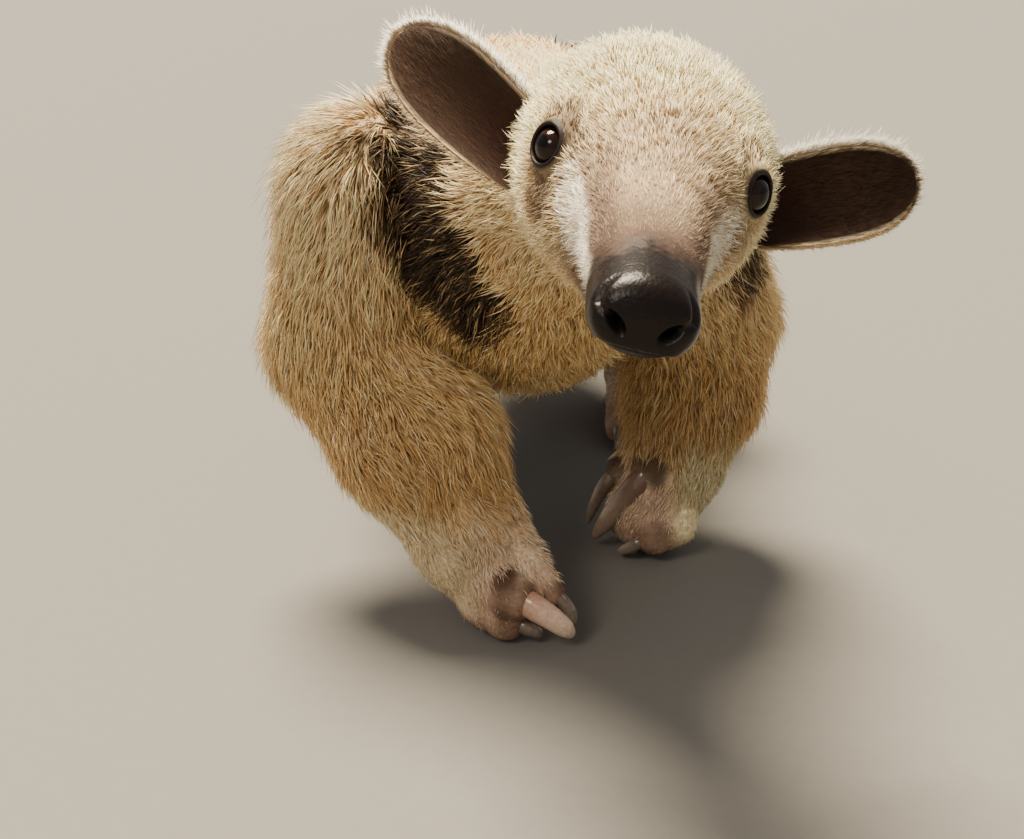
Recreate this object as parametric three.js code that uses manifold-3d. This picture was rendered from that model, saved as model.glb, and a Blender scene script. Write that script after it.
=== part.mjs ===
// Southern tamandua (lesser anteater), life size, in a slow walk with its head raised level.
// The nose points along -Y, the tail trails along +Y and the floor is Z = 0. Lengths are in millimetres.
// The body is one smooth field of rounded forms. Each part is a piece of that field, meshed at its own
// step, parted from its neighbours by a thin gap.
import * as THREE from "three";
import { mergeVertices } from "three/addons/utils/BufferGeometryUtils.js";
import Module from "manifold-3d";

const wasm = await Module();
wasm.setup();

// Driving dimensions
const GAP = 0.3; // left between parts that touch
const EYE_MIDDLE = [31, 68.7, 171.4]; // halfway between the eyes
const HEAD_ROLL = THREE.MathUtils.degToRad(12.7); // the crown leans to the animal's left
const HEAD_YAW = THREE.MathUtils.degToRad(-3); // the nose points a little to the animal's right
const EYE = { side: 21.2, back: 1.6, up: -0.3, radius: 5.4 };
const LIDS = { thickness: 1.3, opening: 4.6, faces: [0.74, -0.65, 0.17] };
const BROW = { side: 19.5, back: 2.5, up: 1.5, radius: 6.8 };
const NOSTRIL = { side: 5.6, back: -70, up: -16.6, size: [2.3, 4.6, 1.8], turn: 0.5 };
const MOUTH = { width: 30, depth: 16, gap: 0.9, back: -66, up: -22.4, slope: -0.05 };
const TAIL_RADIUS = 27;
const TAIL_TIP_RADIUS = 3.6;

// How far forms melt into one another where they meet
const SOFT = { brow: 5, throat: 14, arm: 9, wrist: 7, palm: 4, digit: 2, digits: 4.5, leg: 10, sole: 5 };

// Mesh steps, finer where the form is finer
const STEP = { head: 4.8, neck: 11, torso: 16, foreleg: 11.5, forefoot: 4.8, hindleg: 13, hindfoot: 6 };
const GRAIN = 0.01; // vertices lie on multiples of this

// Head in its own frame: left, back and up from the middle of the eyes.
// Rows run from the nose to the nape: back, half width, top, widest level, bottom.
const HEAD_ROWS = [
  [-73.6, 4, -14, -17, -20],
  [-72.6, 8, -11.4, -17, -22.8],
  [-70, 10.2, -9, -17, -25],
  [-66, 10.8, -7.6, -17, -26],
  [-58, 10.8, -5.5, -16, -26.8],
  [-46, 12, -1.8, -13.5, -27.8],
  [-30, 14.8, 4.5, -10.5, -29.5],
  [-15, 18.8, 11.5, -8, -31],
  [0, 24.8, 18.4, -6, -32.5],
  [14, 29.6, 23.6, -6, -34],
  [30, 32, 26.4, -5, -34.5],
  [46, 31.6, 26, -4, -33],
  [58, 28.5, 22, -4, -29],
  [67, 20.5, 14, -4.5, -21],
  [72, 8, 3, -5, -11],
];

// Neck and torso, from inside the head to the rump: y, middle x, half width, top, widest level, bottom.
const TRUNK_ROWS = [
  [96, 31, 14, 176, 165, 152],
  [108, 30.5, 26, 186, 164, 140],
  [128, 28.5, 31.5, 190, 161, 130],
  [152, 23, 36, 190, 156, 117],
  [176, 15.5, 43, 189, 149, 101],
  [202, 8, 50, 188, 141, 84],
  [232, 3, 56, 187, 133, 69],
  [275, 0, 60.5, 185, 125, 58],
  [325, 0, 64.5, 183.5, 120, 54],
  [375, 0, 67, 183, 117, 52],
  [420, 0, 65, 181, 116, 55],
  [460, 0, 58, 175, 117, 63],
  [495, 0, 47, 163, 115, 75],
  [520, 0, 33, 147, 110, 82],
  [534, 0, 18, 130, 108, 92],
];
const NECK_CUT = 120; // y of the cut between head and neck
const SHOULDER_CUT = 196; // y of the cut between neck and torso

// Limbs: each row is x, y, z and radius of a ball, and neighbours are joined by cones.
const FORELIMB = {
  right: {
    arm: [[-46, 216, 143, 31], [-56, 229, 92, 28.5], [-32, 209, 62, 27.5], [-14, 199, 30, 18.5]],
    hand: [[-14, 199, 30, 18.5], [-6, 196, 14.5, 15]],
    digits: [
      [[1, 200, 17, 6.5], [7.5, 196.5, 10.5, 4.8]],
      [[0, 192, 31, 8], [6, 184, 27, 6], [13.5, 177.5, 19, 4.7]],
      [[-5, 187, 20, 11.5], [0, 178.5, 18, 9.2]],
      [[-8, 188, 11, 9.5], [-2, 181, 8.4, 7.6]],
    ],
    claws: [
      [[6, 197.5, 11.5], [11, 195.5, 8.5], [13, 196.5, 5.6], [12.5, 199, 3]],
      [[11, 179, 21], [16.5, 175.5, 16.5], [19.5, 175.5, 11.5], [19.5, 178.5, 7.5]],
      [[0, 178, 18], [8, 173, 15.5], [16, 172, 10], [20, 175.5, 4.6]],
      [[-3, 182, 9], [4, 177, 7], [8.5, 177.5, 4.8], [8, 181, 2.8]],
    ],
  },
  left: {
    arm: [[48, 218, 140, 31], [68, 262, 90, 28.5], [67, 265, 61, 25], [61, 263, 36, 18.5]],
    hand: [[61, 263, 36, 18.5], [52.5, 259, 16.5, 17]],
    digits: [
      [[50, 270, 24, 6.5], [45, 269, 18, 5]],
      [[52, 264, 36, 8.4], [40, 259, 32, 6]],
      [[61, 256, 38, 11.5], [53, 251, 36, 8.8]],
      [[60, 250, 14, 9.5], [53, 246, 11, 7.8]],
    ],
    claws: [
      [[47, 269.5, 19.5], [41, 268, 15.5], [38, 269, 11], [37.5, 272, 7]],
      [[43, 260, 33.5], [35.5, 258, 27], [31, 260, 17], [29, 264, 8]],
      [[56, 252.5, 38], [47.5, 249, 31], [37.5, 251, 17.5], [31, 258, 4.8]],
      [[56, 248, 12], [47, 244, 8.5], [42, 246, 5], [40, 250, 2.8]],
    ],
  },
};
const FORE_CLAW_RADIUS = [2.1, 2.8, 4.7, 3];
const WRIST_LIFT = 4; // the wrist cut lies this far above the wrist's middle

const HINDLIMB = {
  right: {
    leg: [[-37, 440, 124, 42], [-61, 412, 84, 30.5], [-59, 462, 38, 17.5], [-58, 476, 14.5, 15]],
    toeY: 420,
  },
  left: {
    leg: [[38, 432, 124, 42], [64, 397, 86, 30.5], [64, 439, 38, 17.5], [63, 453, 14.5, 15]],
    toeY: 397,
  },
};
const HIND_BALL = { side: 7, behindToes: 4, height: 10, radius: 12 }; // the ball of the foot is two balls
const TOE_SPLAY = { all: 0.14, each: 0.012 }; // how far the toes turn out, and more for each mm to the side
const HIND_TOES = [
  // side, length and radius of each toe, from the inner to the outer one
  [-16, 11, 5.6],
  [-8.4, 17, 5.9],
  [0, 19, 6],
  [8.2, 17, 5.9],
  [15.6, 11, 5.6],
];
const HIND_CLAW = { length: 15, radius: 2.5, rise: [1, 1.6, -0.6, -3.6], along: [0.5, 0.8, 1] };
const ANKLE_CUT = 30; // height of the cut between hind leg and hind foot

// Tail: from the rump down to the floor and round in an open curve. Each row is x, y and z, and where z
// would sink into the floor the tail lies on it.
const TAIL_LINE = [
  [0, 505, 121], [0, 538, 106], [2, 574, 81], [6, 612, 50], [14, 652, 22], [26, 700, -2], [36, 752, -12],
  [36, 804, -14], [20, 850, -14], [-10, 880, -14], [-43, 888, -14], [-66, 876, -14],
];
const TAIL_SHARE_GAP = 0.0004; // half the gap between two lengths, as a share of the whole tail
const TAIL_SINK = 0.8; // depth of the flat under the tail
const TAIL_CUTS = [0, 0.3, 0.65, 1.0004]; // shares of the tail's length where its lengths meet

// Ears: root and tip in the head's frame, and the way the cup opens
const EARS = {
  right: { root: [-30.5, 33, -7], tip: [-66.5, 42, 13.5], opens: [-0.12, -0.93, 0.3] },
  left: { root: [31.5, 34, -7], tip: [69, 43, 8.5], opens: [0.05, -0.94, 0.28] },
};
const EAR = { rootWidth: 16, width: 24.5, widestAt: 0.58, thickness: 2.4, sunk: 6, rows: 10, columns: 7 };
const EAR_BEND = { root: 78, tip: 34 }; // half of the arc that the cup's wall makes, in degrees

// Vectors as plain lists
const add = (a, b) => a.map((v, i) => v + b[i]);
const times = (a, k) => a.map((v) => v * k);
const mix = (a, b, t) => a.map((v, i) => v + (b[i] - v) * t);
const dot = (a, b) => a[0] * b[0] + a[1] * b[1] + a[2] * b[2];
const cross = (a, b) => new THREE.Vector3(...a).cross(new THREE.Vector3(...b)).toArray();
const unit = (a) => times(a, 1 / Math.hypot(...a));
const clamp = THREE.MathUtils.clamp;

// The head's frame
const headTurn = new THREE.Matrix4().makeRotationFromEuler(new THREE.Euler(0, HEAD_ROLL, HEAD_YAW, "ZYX"));
const headFrame = headTurn.clone().setPosition(...EYE_MIDDLE);
const intoHead = headFrame.clone().invert();
const fromHead = (place) => new THREE.Vector3(...place).applyMatrix4(headFrame).toArray();
const headWay = (way) => new THREE.Vector3(...way).applyMatrix4(headTurn).toArray();

// A table's values between its rows, joined smoothly. The first column is the place along the body.
function alongRows(rows) {
  return (place) => {
    let i = 0;
    while (i < rows.length - 2 && rows[i + 1][0] < place) i++;
    const from = rows[i];
    const to = rows[i + 1];
    const before = rows[Math.max(i - 1, 0)];
    const after = rows[Math.min(i + 2, rows.length - 1)];
    const span = to[0] - from[0];
    const t = clamp((place - from[0]) / span, 0, 1);
    return from.slice(1).map((start, k) => {
      const end = to[k + 1];
      const slopeStart = ((end - before[k + 1]) / (to[0] - before[0])) * span;
      const slopeEnd = ((after[k + 1] - start) / (after[0] - from[0])) * span;
      return (
        start * (1 + 2 * t) * (1 - t) ** 2 +
        slopeStart * t * (1 - t) ** 2 +
        end * t * t * (3 - 2 * t) +
        slopeEnd * t * t * (t - 1)
      );
    });
  };
}

// Fields are about the distance to a surface, in millimetres, and negative inside it.
function joined(a, b, softness) {
  const t = clamp(0.5 + (0.5 * (b - a)) / softness, 0, 1);
  return b + (a - b) * t - softness * t * (1 - t);
}

// The larger of two numbers, blended where they are close
const higher = (a, b, softness) => (a + b + Math.hypot(a - b, softness)) / 2;

function section(side, up, halfWidth, top, level, bottom) {
  const high = up > level ? top - level : level - bottom;
  return (Math.hypot(side / halfWidth, (up - level) / high) - 1) * Math.min(halfWidth, high);
}

// A body whose sections are half ellipses above and below their widest level
function lofted(shapeAt, [first, last], side, along, up) {
  const [centre, ...shape] = shapeAt(along);
  return Math.max(section(side - centre, up, ...shape), first - along, along - last);
}

const headShape = alongRows(HEAD_ROWS.map(([back, ...shape]) => [back, 0, ...shape]));
const trunkShape = alongRows(TRUNK_ROWS);
const ends = (rows) => [rows[0][0], rows[rows.length - 1][0]];

function cone(point, from, to) {
  const line = [to[0] - from[0], to[1] - from[1], to[2] - from[2]];
  const reach = [point[0] - from[0], point[1] - from[1], point[2] - from[2]];
  const t = clamp(dot(reach, line) / dot(line, line), 0, 1);
  const radius = from[3] + (to[3] - from[3]) * t;
  return Math.hypot(reach[0] - line[0] * t, reach[1] - line[1] * t, reach[2] - line[2] * t) - radius;
}

function chain(point, balls, softness) {
  let field = Infinity;
  for (let i = 1; i < balls.length; i++) {
    const piece = cone(point, balls[i - 1], balls[i]);
    field = field === Infinity ? piece : joined(field, piece, softness);
  }
  return field;
}

function trunkField(point) {
  const [left, back, up] = new THREE.Vector3(...point).applyMatrix4(intoHead).toArray();
  let head = lofted(headShape, ends(HEAD_ROWS), left, back, up);
  const brow = Math.hypot(Math.abs(left) - BROW.side, back - BROW.back, up - BROW.up) - BROW.radius;
  head = joined(head, brow, SOFT.brow);
  return joined(head, lofted(trunkShape, ends(TRUNK_ROWS), ...point), SOFT.throat);
}

function foreField(limb) {
  return (point) => {
    let field = chain(point, limb.arm, SOFT.arm);
    field = joined(field, chain(point, limb.hand, SOFT.palm), SOFT.wrist);
    for (const digit of limb.digits) field = joined(field, chain(point, digit, SOFT.digit), SOFT.digits);
    return field;
  };
}

// Toes and their claws fan out from the ball of the foot.
function hindToes(limb) {
  const away = Math.sign(limb.leg[0][0]);
  const middle = limb.leg[3][0] + away * 2;
  return HIND_TOES.map(([side, length, radius]) => {
    const turn = away * (TOE_SPLAY.all + side * TOE_SPLAY.each);
    const way = [Math.sin(turn), -Math.cos(turn), 0];
    const base = [middle + side * away, limb.toeY - Math.cos(side / 12) * 2, radius - 0.6];
    return { way, radius, base, end: add(base, times(way, length)) };
  });
}

function hindField(limb) {
  const toes = hindToes(limb);
  const heel = limb.leg[3];
  const balls = [-1, 1].map((side) => {
    const { side: apart, behindToes, height, radius } = HIND_BALL;
    return [heel[0] + side * apart, limb.toeY + behindToes, height, radius];
  });
  return (point) => {
    let field = chain(point, limb.leg, SOFT.leg);
    for (const ball of balls) field = joined(field, cone(point, heel, ball), SOFT.sole);
    for (const { base, end, radius } of toes) {
      field = joined(field, cone(point, [...base, radius], [...end, radius - 0.5]), SOFT.palm);
    }
    return field;
  };
}

// A closed surface with one vertex in each grid cell that the field crosses, drawn onto the field
function surface(field, low, high, step, grow = 0) {
  const count = low.map((v, i) => Math.ceil((high[i] - v) / step) + 1);
  const place = (i, j, k) => [low[0] + i * step, low[1] + j * step, low[2] + k * step];
  const index = (i, j, k) => (k * count[1] + j) * count[0] + i;
  const inBox = (p) => Math.max(...p.map((v, i) => Math.max(low[i] + step - v, v - high[i] + step)));
  const value = (p) => Math.max(field(p) - grow, inBox(p));
  const values = new Float32Array(count[0] * count[1] * count[2]);
  for (let k = 0; k < count[2]; k++)
    for (let j = 0; j < count[1]; j++)
      for (let i = 0; i < count[0]; i++) values[index(i, j, k)] = value(place(i, j, k));

  const corners = [0, 1, 2, 3, 4, 5, 6, 7].map((c) => [c & 1, (c >> 1) & 1, (c >> 2) & 1]);
  const vertexOf = new Map();
  const positions = [];
  for (let k = 0; k < count[2] - 1; k++)
    for (let j = 0; j < count[1] - 1; j++)
      for (let i = 0; i < count[0] - 1; i++) {
        const at = corners.map((c) => values[index(i + c[0], j + c[1], k + c[2])]);
        let crossings = 0;
        let sum = [0, 0, 0];
        for (let a = 0; a < 8; a++)
          for (const bit of [1, 2, 4]) {
            const b = a | bit;
            if (b === a || at[a] < 0 === at[b] < 0) continue;
            const share = at[a] / (at[a] - at[b]);
            sum = add(sum, mix(corners[a], corners[b], share));
            crossings++;
          }
        if (!crossings) continue;
        const start = add(place(i, j, k), times(sum, step / crossings));
        vertexOf.set(index(i, j, k), positions.length / 3);
        positions.push(...drawnOn(value, start, step / 2));
      }

  const triangles = [];
  const around = [[0, 1, 2], [1, 2, 0], [2, 0, 1]];
  for (let k = 1; k < count[2] - 1; k++)
    for (let j = 1; j < count[1] - 1; j++)
      for (let i = 1; i < count[0] - 1; i++) {
        const here = values[index(i, j, k)] < 0;
        for (const [axis, next, third] of around) {
          const far = [i, j, k];
          far[axis]++;
          if (values[index(...far)] < 0 === here) continue;
          const quad = [[1, 1], [0, 1], [0, 0], [1, 0]].map(([m, n]) => {
            const cell = [i, j, k];
            cell[next] -= m;
            cell[third] -= n;
            return vertexOf.get(index(...cell));
          });
          if (!here) quad.reverse();
          triangles.push(...twoTriangles(quad, positions));
        }
      }
  return meshGeometry(positions, triangles);
}

// Moves a point onto the zero of a field, and no further than the limit
function drawnOn(value, start, limit) {
  let p = start;
  const e = 0.4;
  for (let turn = 0; turn < 4; turn++) {
    const here = value(p);
    const slope = [0, 1, 2].map((i) => {
      const shifted = [...p];
      shifted[i] += e;
      return (value(shifted) - here) / e;
    });
    const steep = Math.max(dot(slope, slope), 0.15);
    p = add(p, times(slope, -here / steep));
  }
  const moved = Math.hypot(p[0] - start[0], p[1] - start[1], p[2] - start[2]);
  return moved > limit ? mix(start, p, limit / moved) : p;
}

function twoTriangles(quad, positions) {
  const [a, b, c, d] = quad;
  const apart = (m, n) => Math.hypot(...[0, 1, 2].map((i) => positions[m * 3 + i] - positions[n * 3 + i]));
  return apart(a, c) < apart(b, d) ? [a, b, c, a, c, d] : [a, b, d, b, c, d];
}

function meshGeometry(positions, triangles) {
  return new THREE.BufferGeometry()
    .setAttribute("position", new THREE.Float32BufferAttribute(positions, 3))
    .setIndex(triangles);
}

// A closed tube through rings that all have the same number of points
function loft(rings) {
  const sides = rings[0].length;
  const positions = rings.flat(2);
  const triangles = [];
  for (let r = 1; r < rings.length; r++)
    for (let s = 0; s < sides; s++) {
      const t = (s + 1) % sides;
      const [a, b] = [(r - 1) * sides, r * sides];
      triangles.push(a + s, a + t, b + t, a + s, b + t, b + s);
    }
  for (const [ring, start] of [[rings[0], 0], [rings[rings.length - 1], (rings.length - 1) * sides]]) {
    const middle = positions.length / 3;
    positions.push(...times(ring.reduce(add), 1 / sides));
    for (let s = 0; s < sides; s++) {
      const t = (s + 1) % sides;
      triangles.push(...(start ? [middle, start + s, start + t] : [middle, start + t, start + s]));
    }
  }
  return meshGeometry(positions, triangles);
}

// A round or flattened tube along a line, with its radius given by a function of the share from 0 to 1
function taperedTube(line, radiusAt, steps, sides, { from = 0, to = 1, narrow = 1, sink } = {}) {
  const curve = new THREE.CatmullRomCurve3(line.map((p) => new THREE.Vector3(...p)));
  const rings = [];
  for (let r = 0; r <= steps; r++) {
    const share = from + ((to - from) * r) / steps;
    const middle = curve.getPointAt(share).toArray();
    const along = curve.getTangentAt(share).toArray();
    const side = unit(cross(along, [0, 0, 1]));
    const up = cross(side, along);
    const radius = radiusAt(share);
    if (sink !== undefined) middle[2] = higher(middle[2], radius - sink, 4);
    rings.push(
      Array.from({ length: sides }, (_, s) => {
        const turn = (2 * Math.PI * s) / sides;
        const across = times(side, Math.cos(turn) * radius * narrow);
        return add(middle, add(across, times(up, Math.sin(turn) * radius)));
      }),
    );
  }
  return loft(rings);
}

// Solids
function solid(geometry) {
  const bare = new THREE.BufferGeometry().setAttribute("position", geometry.getAttribute("position"));
  const merged = mergeVertices(bare.setIndex(geometry.index), 1e-4);
  const vertProperties = merged.attributes.position.array;
  const corners = Array.from(merged.index.array);
  const make = (triVerts) => new wasm.Manifold(new wasm.Mesh({ numProp: 3, vertProperties, triVerts }));
  const made = make(new Uint32Array(corners));
  return made.volume() > 0 ? made : make(new Uint32Array(corners.reverse()));
}

const largest = (made) => made.decompose().reduce((a, b) => (a.volume() > b.volume() ? a : b));

// The same surface with its vertices on a fine grid, so that the cuts leave no slivers
function cleaned(made) {
  const mesh = made.getMesh();
  const snapped = Array.from(mesh.vertProperties, (v) => Math.round(v / GRAIN) * GRAIN);
  const merged = mergeVertices(meshGeometry(snapped, Array.from(mesh.triVerts)), GRAIN / 10);
  const kept = new Map();
  for (let i = 0; i < merged.index.count; i += 3) {
    const corners = [0, 1, 2].map((c) => merged.index.getX(i + c));
    if (new Set(corners).size < 3) continue;
    const key = [...corners].sort().join();
    if (!kept.delete(key)) kept.set(key, corners);
  }
  return merged.setIndex([...kept.values()].flat());
}
const onFloor = (made) => made.trimByPlane([0, 0, 1], 0);
const ball = (centre, radius) => solid(new THREE.IcosahedronGeometry(radius, 3).translate(...centre));

const animal = new THREE.Group();

const MATERIALS = {
  coat: new THREE.MeshStandardMaterial({ color: "#cdb07c", roughness: 0.85 }),
  vest: new THREE.MeshStandardMaterial({ color: "#3a2e26", roughness: 0.9 }),
  ear: new THREE.MeshStandardMaterial({ color: "#4a3527", roughness: 0.8 }),
  eye: new THREE.MeshStandardMaterial({ color: "#0d0908", roughness: 0.08 }),
  claw: new THREE.MeshStandardMaterial({ color: "#8d7565", roughness: 0.4 }),
  tail: new THREE.MeshStandardMaterial({ color: "#b59a76", roughness: 0.8 }),
};

function place(name, made, material) {
  const geometry = cleaned(largest(solid(cleaned(largest(made)))));
  geometry.computeVertexNormals();
  const shown = new THREE.Mesh(geometry, MATERIALS[material]);
  shown.name = name;
  animal.add(shown);
}

// Head, with lids round the eyes, nostrils and the line of the mouth
const HEAD_BOX = [[-26, -12, 112], [90, NECK_CUT + 16, 214]];
const UP_Y = new THREE.Vector3(0, 1, 0); // the axis of a cylinder before it is turned
const wholeHead = solid(surface(trunkField, ...HEAD_BOX, STEP.head));
const grownHead = solid(surface(trunkField, ...HEAD_BOX, STEP.head, GAP * 1.3));
let head = wholeHead.trimByPlane([0, -1, 0], -NECK_CUT + GAP / 2);

for (const side of [1, -1]) {
  const middle = fromHead([EYE.side * side, EYE.back, EYE.up]);
  const faces = unit(headWay([LIDS.faces[0] * side, LIDS.faces[1], LIDS.faces[2]]));
  const opening = new THREE.CylinderGeometry(LIDS.opening, LIDS.opening, 12, 16);
  opening.translate(0, 6, 0);
  const facing = new THREE.Quaternion().setFromUnitVectors(UP_Y, new THREE.Vector3(...faces));
  opening.applyQuaternion(facing).translate(...middle);
  head = head
    .add(ball(middle, EYE.radius + GAP + LIDS.thickness))
    .subtract(solid(opening))
    .subtract(ball(middle, EYE.radius + GAP));
  place(side > 0 ? "eye_left" : "eye_right", ball(middle, EYE.radius), "eye");
}

for (const side of [1, -1]) {
  const hollow = new THREE.IcosahedronGeometry(1, 1).scale(...NOSTRIL.size);
  hollow.rotateY(side * NOSTRIL.turn).rotateZ(side * NOSTRIL.turn);
  hollow.translate(side * NOSTRIL.side, NOSTRIL.back, NOSTRIL.up);
  head = head.subtract(solid(hollow.applyMatrix4(headFrame)));
}
const mouth = new THREE.BoxGeometry(MOUTH.width, MOUTH.depth, MOUTH.gap).rotateX(MOUTH.slope);
head = head.subtract(solid(mouth.translate(0, MOUTH.back, MOUTH.up).applyMatrix4(headFrame)));
place("head", head, "coat");

// Ears: a cup whose wall is an arc, narrow at the root and round at the tip
function earWidth(share) {
  const grown = Math.min(share / EAR.widestAt, 1);
  const beyond = clamp((share - EAR.widestAt) / (1 - EAR.widestAt), 0, 0.985);
  return (EAR.rootWidth + (EAR.width - EAR.rootWidth) * grown * (2 - grown)) * Math.sqrt(1 - beyond ** 2);
}

function earSolid({ root, tip, opens }) {
  const reach = add(tip, times(root, -1));
  const along = unit(reach);
  const length = Math.hypot(...reach) + EAR.sunk;
  const facing = unit(add(opens, times(along, -dot(opens, along))));
  const across = cross(along, facing);
  const rings = [];
  for (let r = 0; r <= EAR.rows; r++) {
    const share = Math.sin((r / EAR.rows) * Math.PI * 0.5);
    const bend = THREE.MathUtils.degToRad(EAR_BEND.root + (EAR_BEND.tip - EAR_BEND.root) * share);
    const radius = earWidth(share) / 2 / Math.sin(bend);
    const thick = EAR.thickness * (1 - 0.5 * share ** 3);
    const middle = add(root, times(along, length * share - EAR.sunk));
    const wall = (out, turn) => {
      const sideways = times(across, Math.sin(turn) * out);
      return add(middle, add(sideways, times(facing, radius * 0.7 - Math.cos(turn) * out)));
    };
    const turns = Array.from({ length: EAR.columns + 1 }, (_, c) => bend * ((2 * c) / EAR.columns - 1));
    const inner = turns.map((turn) => wall(radius, turn));
    const outer = turns.reverse().map((turn) => wall(radius + thick, turn * 0.95));
    rings.push([...inner, ...outer].map(fromHead));
  }
  return solid(loft(rings));
}
for (const side of ["left", "right"]) place("ear_" + side, earSolid(EARS[side]).subtract(grownHead), "ear");

// Neck and torso
const NECK_BOX = [[-70, NECK_CUT - 20, 40], [90, SHOULDER_CUT + 24, 210]];
const TORSO_BOX = [[-95, SHOULDER_CUT - 24, 30], [95, 560, 210]];
const neck = solid(surface(trunkField, ...NECK_BOX, STEP.neck));
const torso = solid(surface(trunkField, ...TORSO_BOX, STEP.torso));
const grownTrunk = [
  solid(surface(trunkField, ...NECK_BOX, STEP.neck, GAP * 1.8)),
  solid(surface(trunkField, ...TORSO_BOX, STEP.torso, GAP * 1.8)),
];
place(
  "neck",
  neck.trimByPlane([0, 1, 0], NECK_CUT + GAP / 2).trimByPlane([0, -1, 0], -SHOULDER_CUT + GAP / 2),
  "coat",
);
place("torso", torso.trimByPlane([0, 1, 0], SHOULDER_CUT + GAP / 2), "vest");

// Forelegs, forefeet and their claws
for (const side of ["left", "right"]) {
  const limb = FORELIMB[side];
  const field = foreField(limb);
  const [elbow, wrist] = [limb.arm[1], limb.arm[3]];
  const cutWay = unit(add(limb.arm[2].slice(0, 3), times(wrist.slice(0, 3), -1)));
  const cutAt = dot(cutWay, wrist) + WRIST_LIFT;
  const low = [Math.min(elbow[0], wrist[0]) - 50, wrist[1] - 60, -16];
  const high = [Math.max(elbow[0], wrist[0]) + 50, elbow[1] + 50, 190];
  let leg = solid(surface(field, low, high, STEP.foreleg)).trimByPlane(cutWay, cutAt + GAP / 2);
  for (const grown of grownTrunk) leg = leg.subtract(grown);
  place("foreleg_" + side, leg, "coat");

  const footLow = [wrist[0] - 34, wrist[1] - 38, -9];
  const footHigh = [wrist[0] + 42, wrist[1] + 34, wrist[2] + 40];
  const foot = solid(surface(field, footLow, footHigh, STEP.forefoot));
  const grownFoot = solid(surface(field, footLow, footHigh, STEP.forefoot, GAP * 2));
  place("forefoot_" + side, onFloor(foot.trimByPlane(times(cutWay, -1), -cutAt + GAP / 2)), "coat");
  limb.claws.forEach((line, i) => {
    const radius = FORE_CLAW_RADIUS[i];
    const claw = taperedTube(line, (share) => radius * (1 - share ** 2.2 * 0.8), 7, 8, { narrow: 0.8 });
    place(`claw_fore_${side}_${i + 1}`, onFloor(solid(claw).subtract(grownFoot)), "claw");
  });
}

// Hind legs, hind feet and their claws
for (const side of ["left", "right"]) {
  const limb = HINDLIMB[side];
  const field = hindField(limb);
  const [hip, , , heel] = limb.leg;
  const low = [Math.min(hip[0], heel[0]) - 62, limb.toeY - 40, -16];
  const high = [Math.max(hip[0], heel[0]) + 62, hip[1] + 70, 180];
  let leg = solid(surface(field, low, high, STEP.hindleg)).trimByPlane([0, 0, 1], ANKLE_CUT + GAP / 2);
  leg = leg.subtract(grownTrunk[1]);
  place("hindleg_" + side, leg, "coat");

  const footLow = [heel[0] - 32, limb.toeY - 32, -9];
  const footHigh = [heel[0] + 32, heel[1] + 26, ANKLE_CUT + 12];
  const foot = solid(surface(field, footLow, footHigh, STEP.hindfoot));
  const grownFoot = solid(surface(field, footLow, footHigh, STEP.hindfoot, GAP * 3));
  place("hindfoot_" + side, onFloor(foot.trimByPlane([0, 0, -1], -ANKLE_CUT + GAP / 2)), "coat");
  hindToes(limb).forEach(({ end, way, radius }, i) => {
    const places = [-2, ...HIND_CLAW.along.map((share) => radius + HIND_CLAW.length * share - 4)];
    const line = places.map((out, step) => add(add(end, times(way, out)), [0, 0, HIND_CLAW.rise[step]]));
    const clawRadius = (share) => HIND_CLAW.radius * (1 - share ** 2 * 0.78);
    const claw = taperedTube(line, clawRadius, 5, 6, { narrow: 0.75 });
    place(`claw_hind_${side}_${i + 1}`, onFloor(solid(claw).subtract(grownFoot)), "claw");
  });
}

// Tail, in three lengths
const tailRadius = (share) => TAIL_TIP_RADIUS + (TAIL_RADIUS - TAIL_TIP_RADIUS) * (1 - share) ** 1.25;
["base", "middle", "tip"].forEach((name, i) => {
  const [from, to] = [TAIL_CUTS[i] + TAIL_SHARE_GAP, TAIL_CUTS[i + 1] - TAIL_SHARE_GAP];
  const length = taperedTube(TAIL_LINE, tailRadius, 12, 12, { from, to, sink: TAIL_SINK });
  place("tail_" + name, onFloor(solid(length).subtract(grownTrunk[1])), "tail");
});

// The origin is under the middle of the whole animal, on the floor.
const reach = new THREE.Box3().setFromObject(animal);
const middle = reach.getCenter(new THREE.Vector3());
animal.position.set(-middle.x, -middle.y, -reach.min.z);

export default animal;
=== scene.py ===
"""Southern tamandua, life size, in a slow walk with its head raised: skin, coat, ears, eyes and claws.

Shapes are worked out in millimetres in the drawing frame: the nose points along -Y, +X is the animal's
left and the floor is z = 0. Each finished mesh is then moved into the row frame, in metres.
"""

import bpy
import numpy as np
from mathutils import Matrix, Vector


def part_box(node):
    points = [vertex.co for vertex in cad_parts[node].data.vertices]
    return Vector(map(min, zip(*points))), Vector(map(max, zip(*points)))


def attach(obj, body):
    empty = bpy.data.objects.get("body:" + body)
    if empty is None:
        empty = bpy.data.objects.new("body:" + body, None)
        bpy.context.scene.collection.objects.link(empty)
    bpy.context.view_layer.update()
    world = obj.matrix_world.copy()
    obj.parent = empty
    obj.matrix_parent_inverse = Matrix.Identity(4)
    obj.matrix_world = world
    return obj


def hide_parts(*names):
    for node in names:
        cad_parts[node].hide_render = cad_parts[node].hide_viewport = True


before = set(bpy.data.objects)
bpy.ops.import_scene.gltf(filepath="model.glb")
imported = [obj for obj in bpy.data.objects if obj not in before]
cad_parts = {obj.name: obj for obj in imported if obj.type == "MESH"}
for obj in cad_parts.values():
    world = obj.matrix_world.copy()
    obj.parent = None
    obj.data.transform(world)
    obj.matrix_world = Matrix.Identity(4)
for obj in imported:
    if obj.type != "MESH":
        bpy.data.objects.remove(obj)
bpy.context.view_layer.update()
chance = np.random.default_rng(41)

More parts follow.
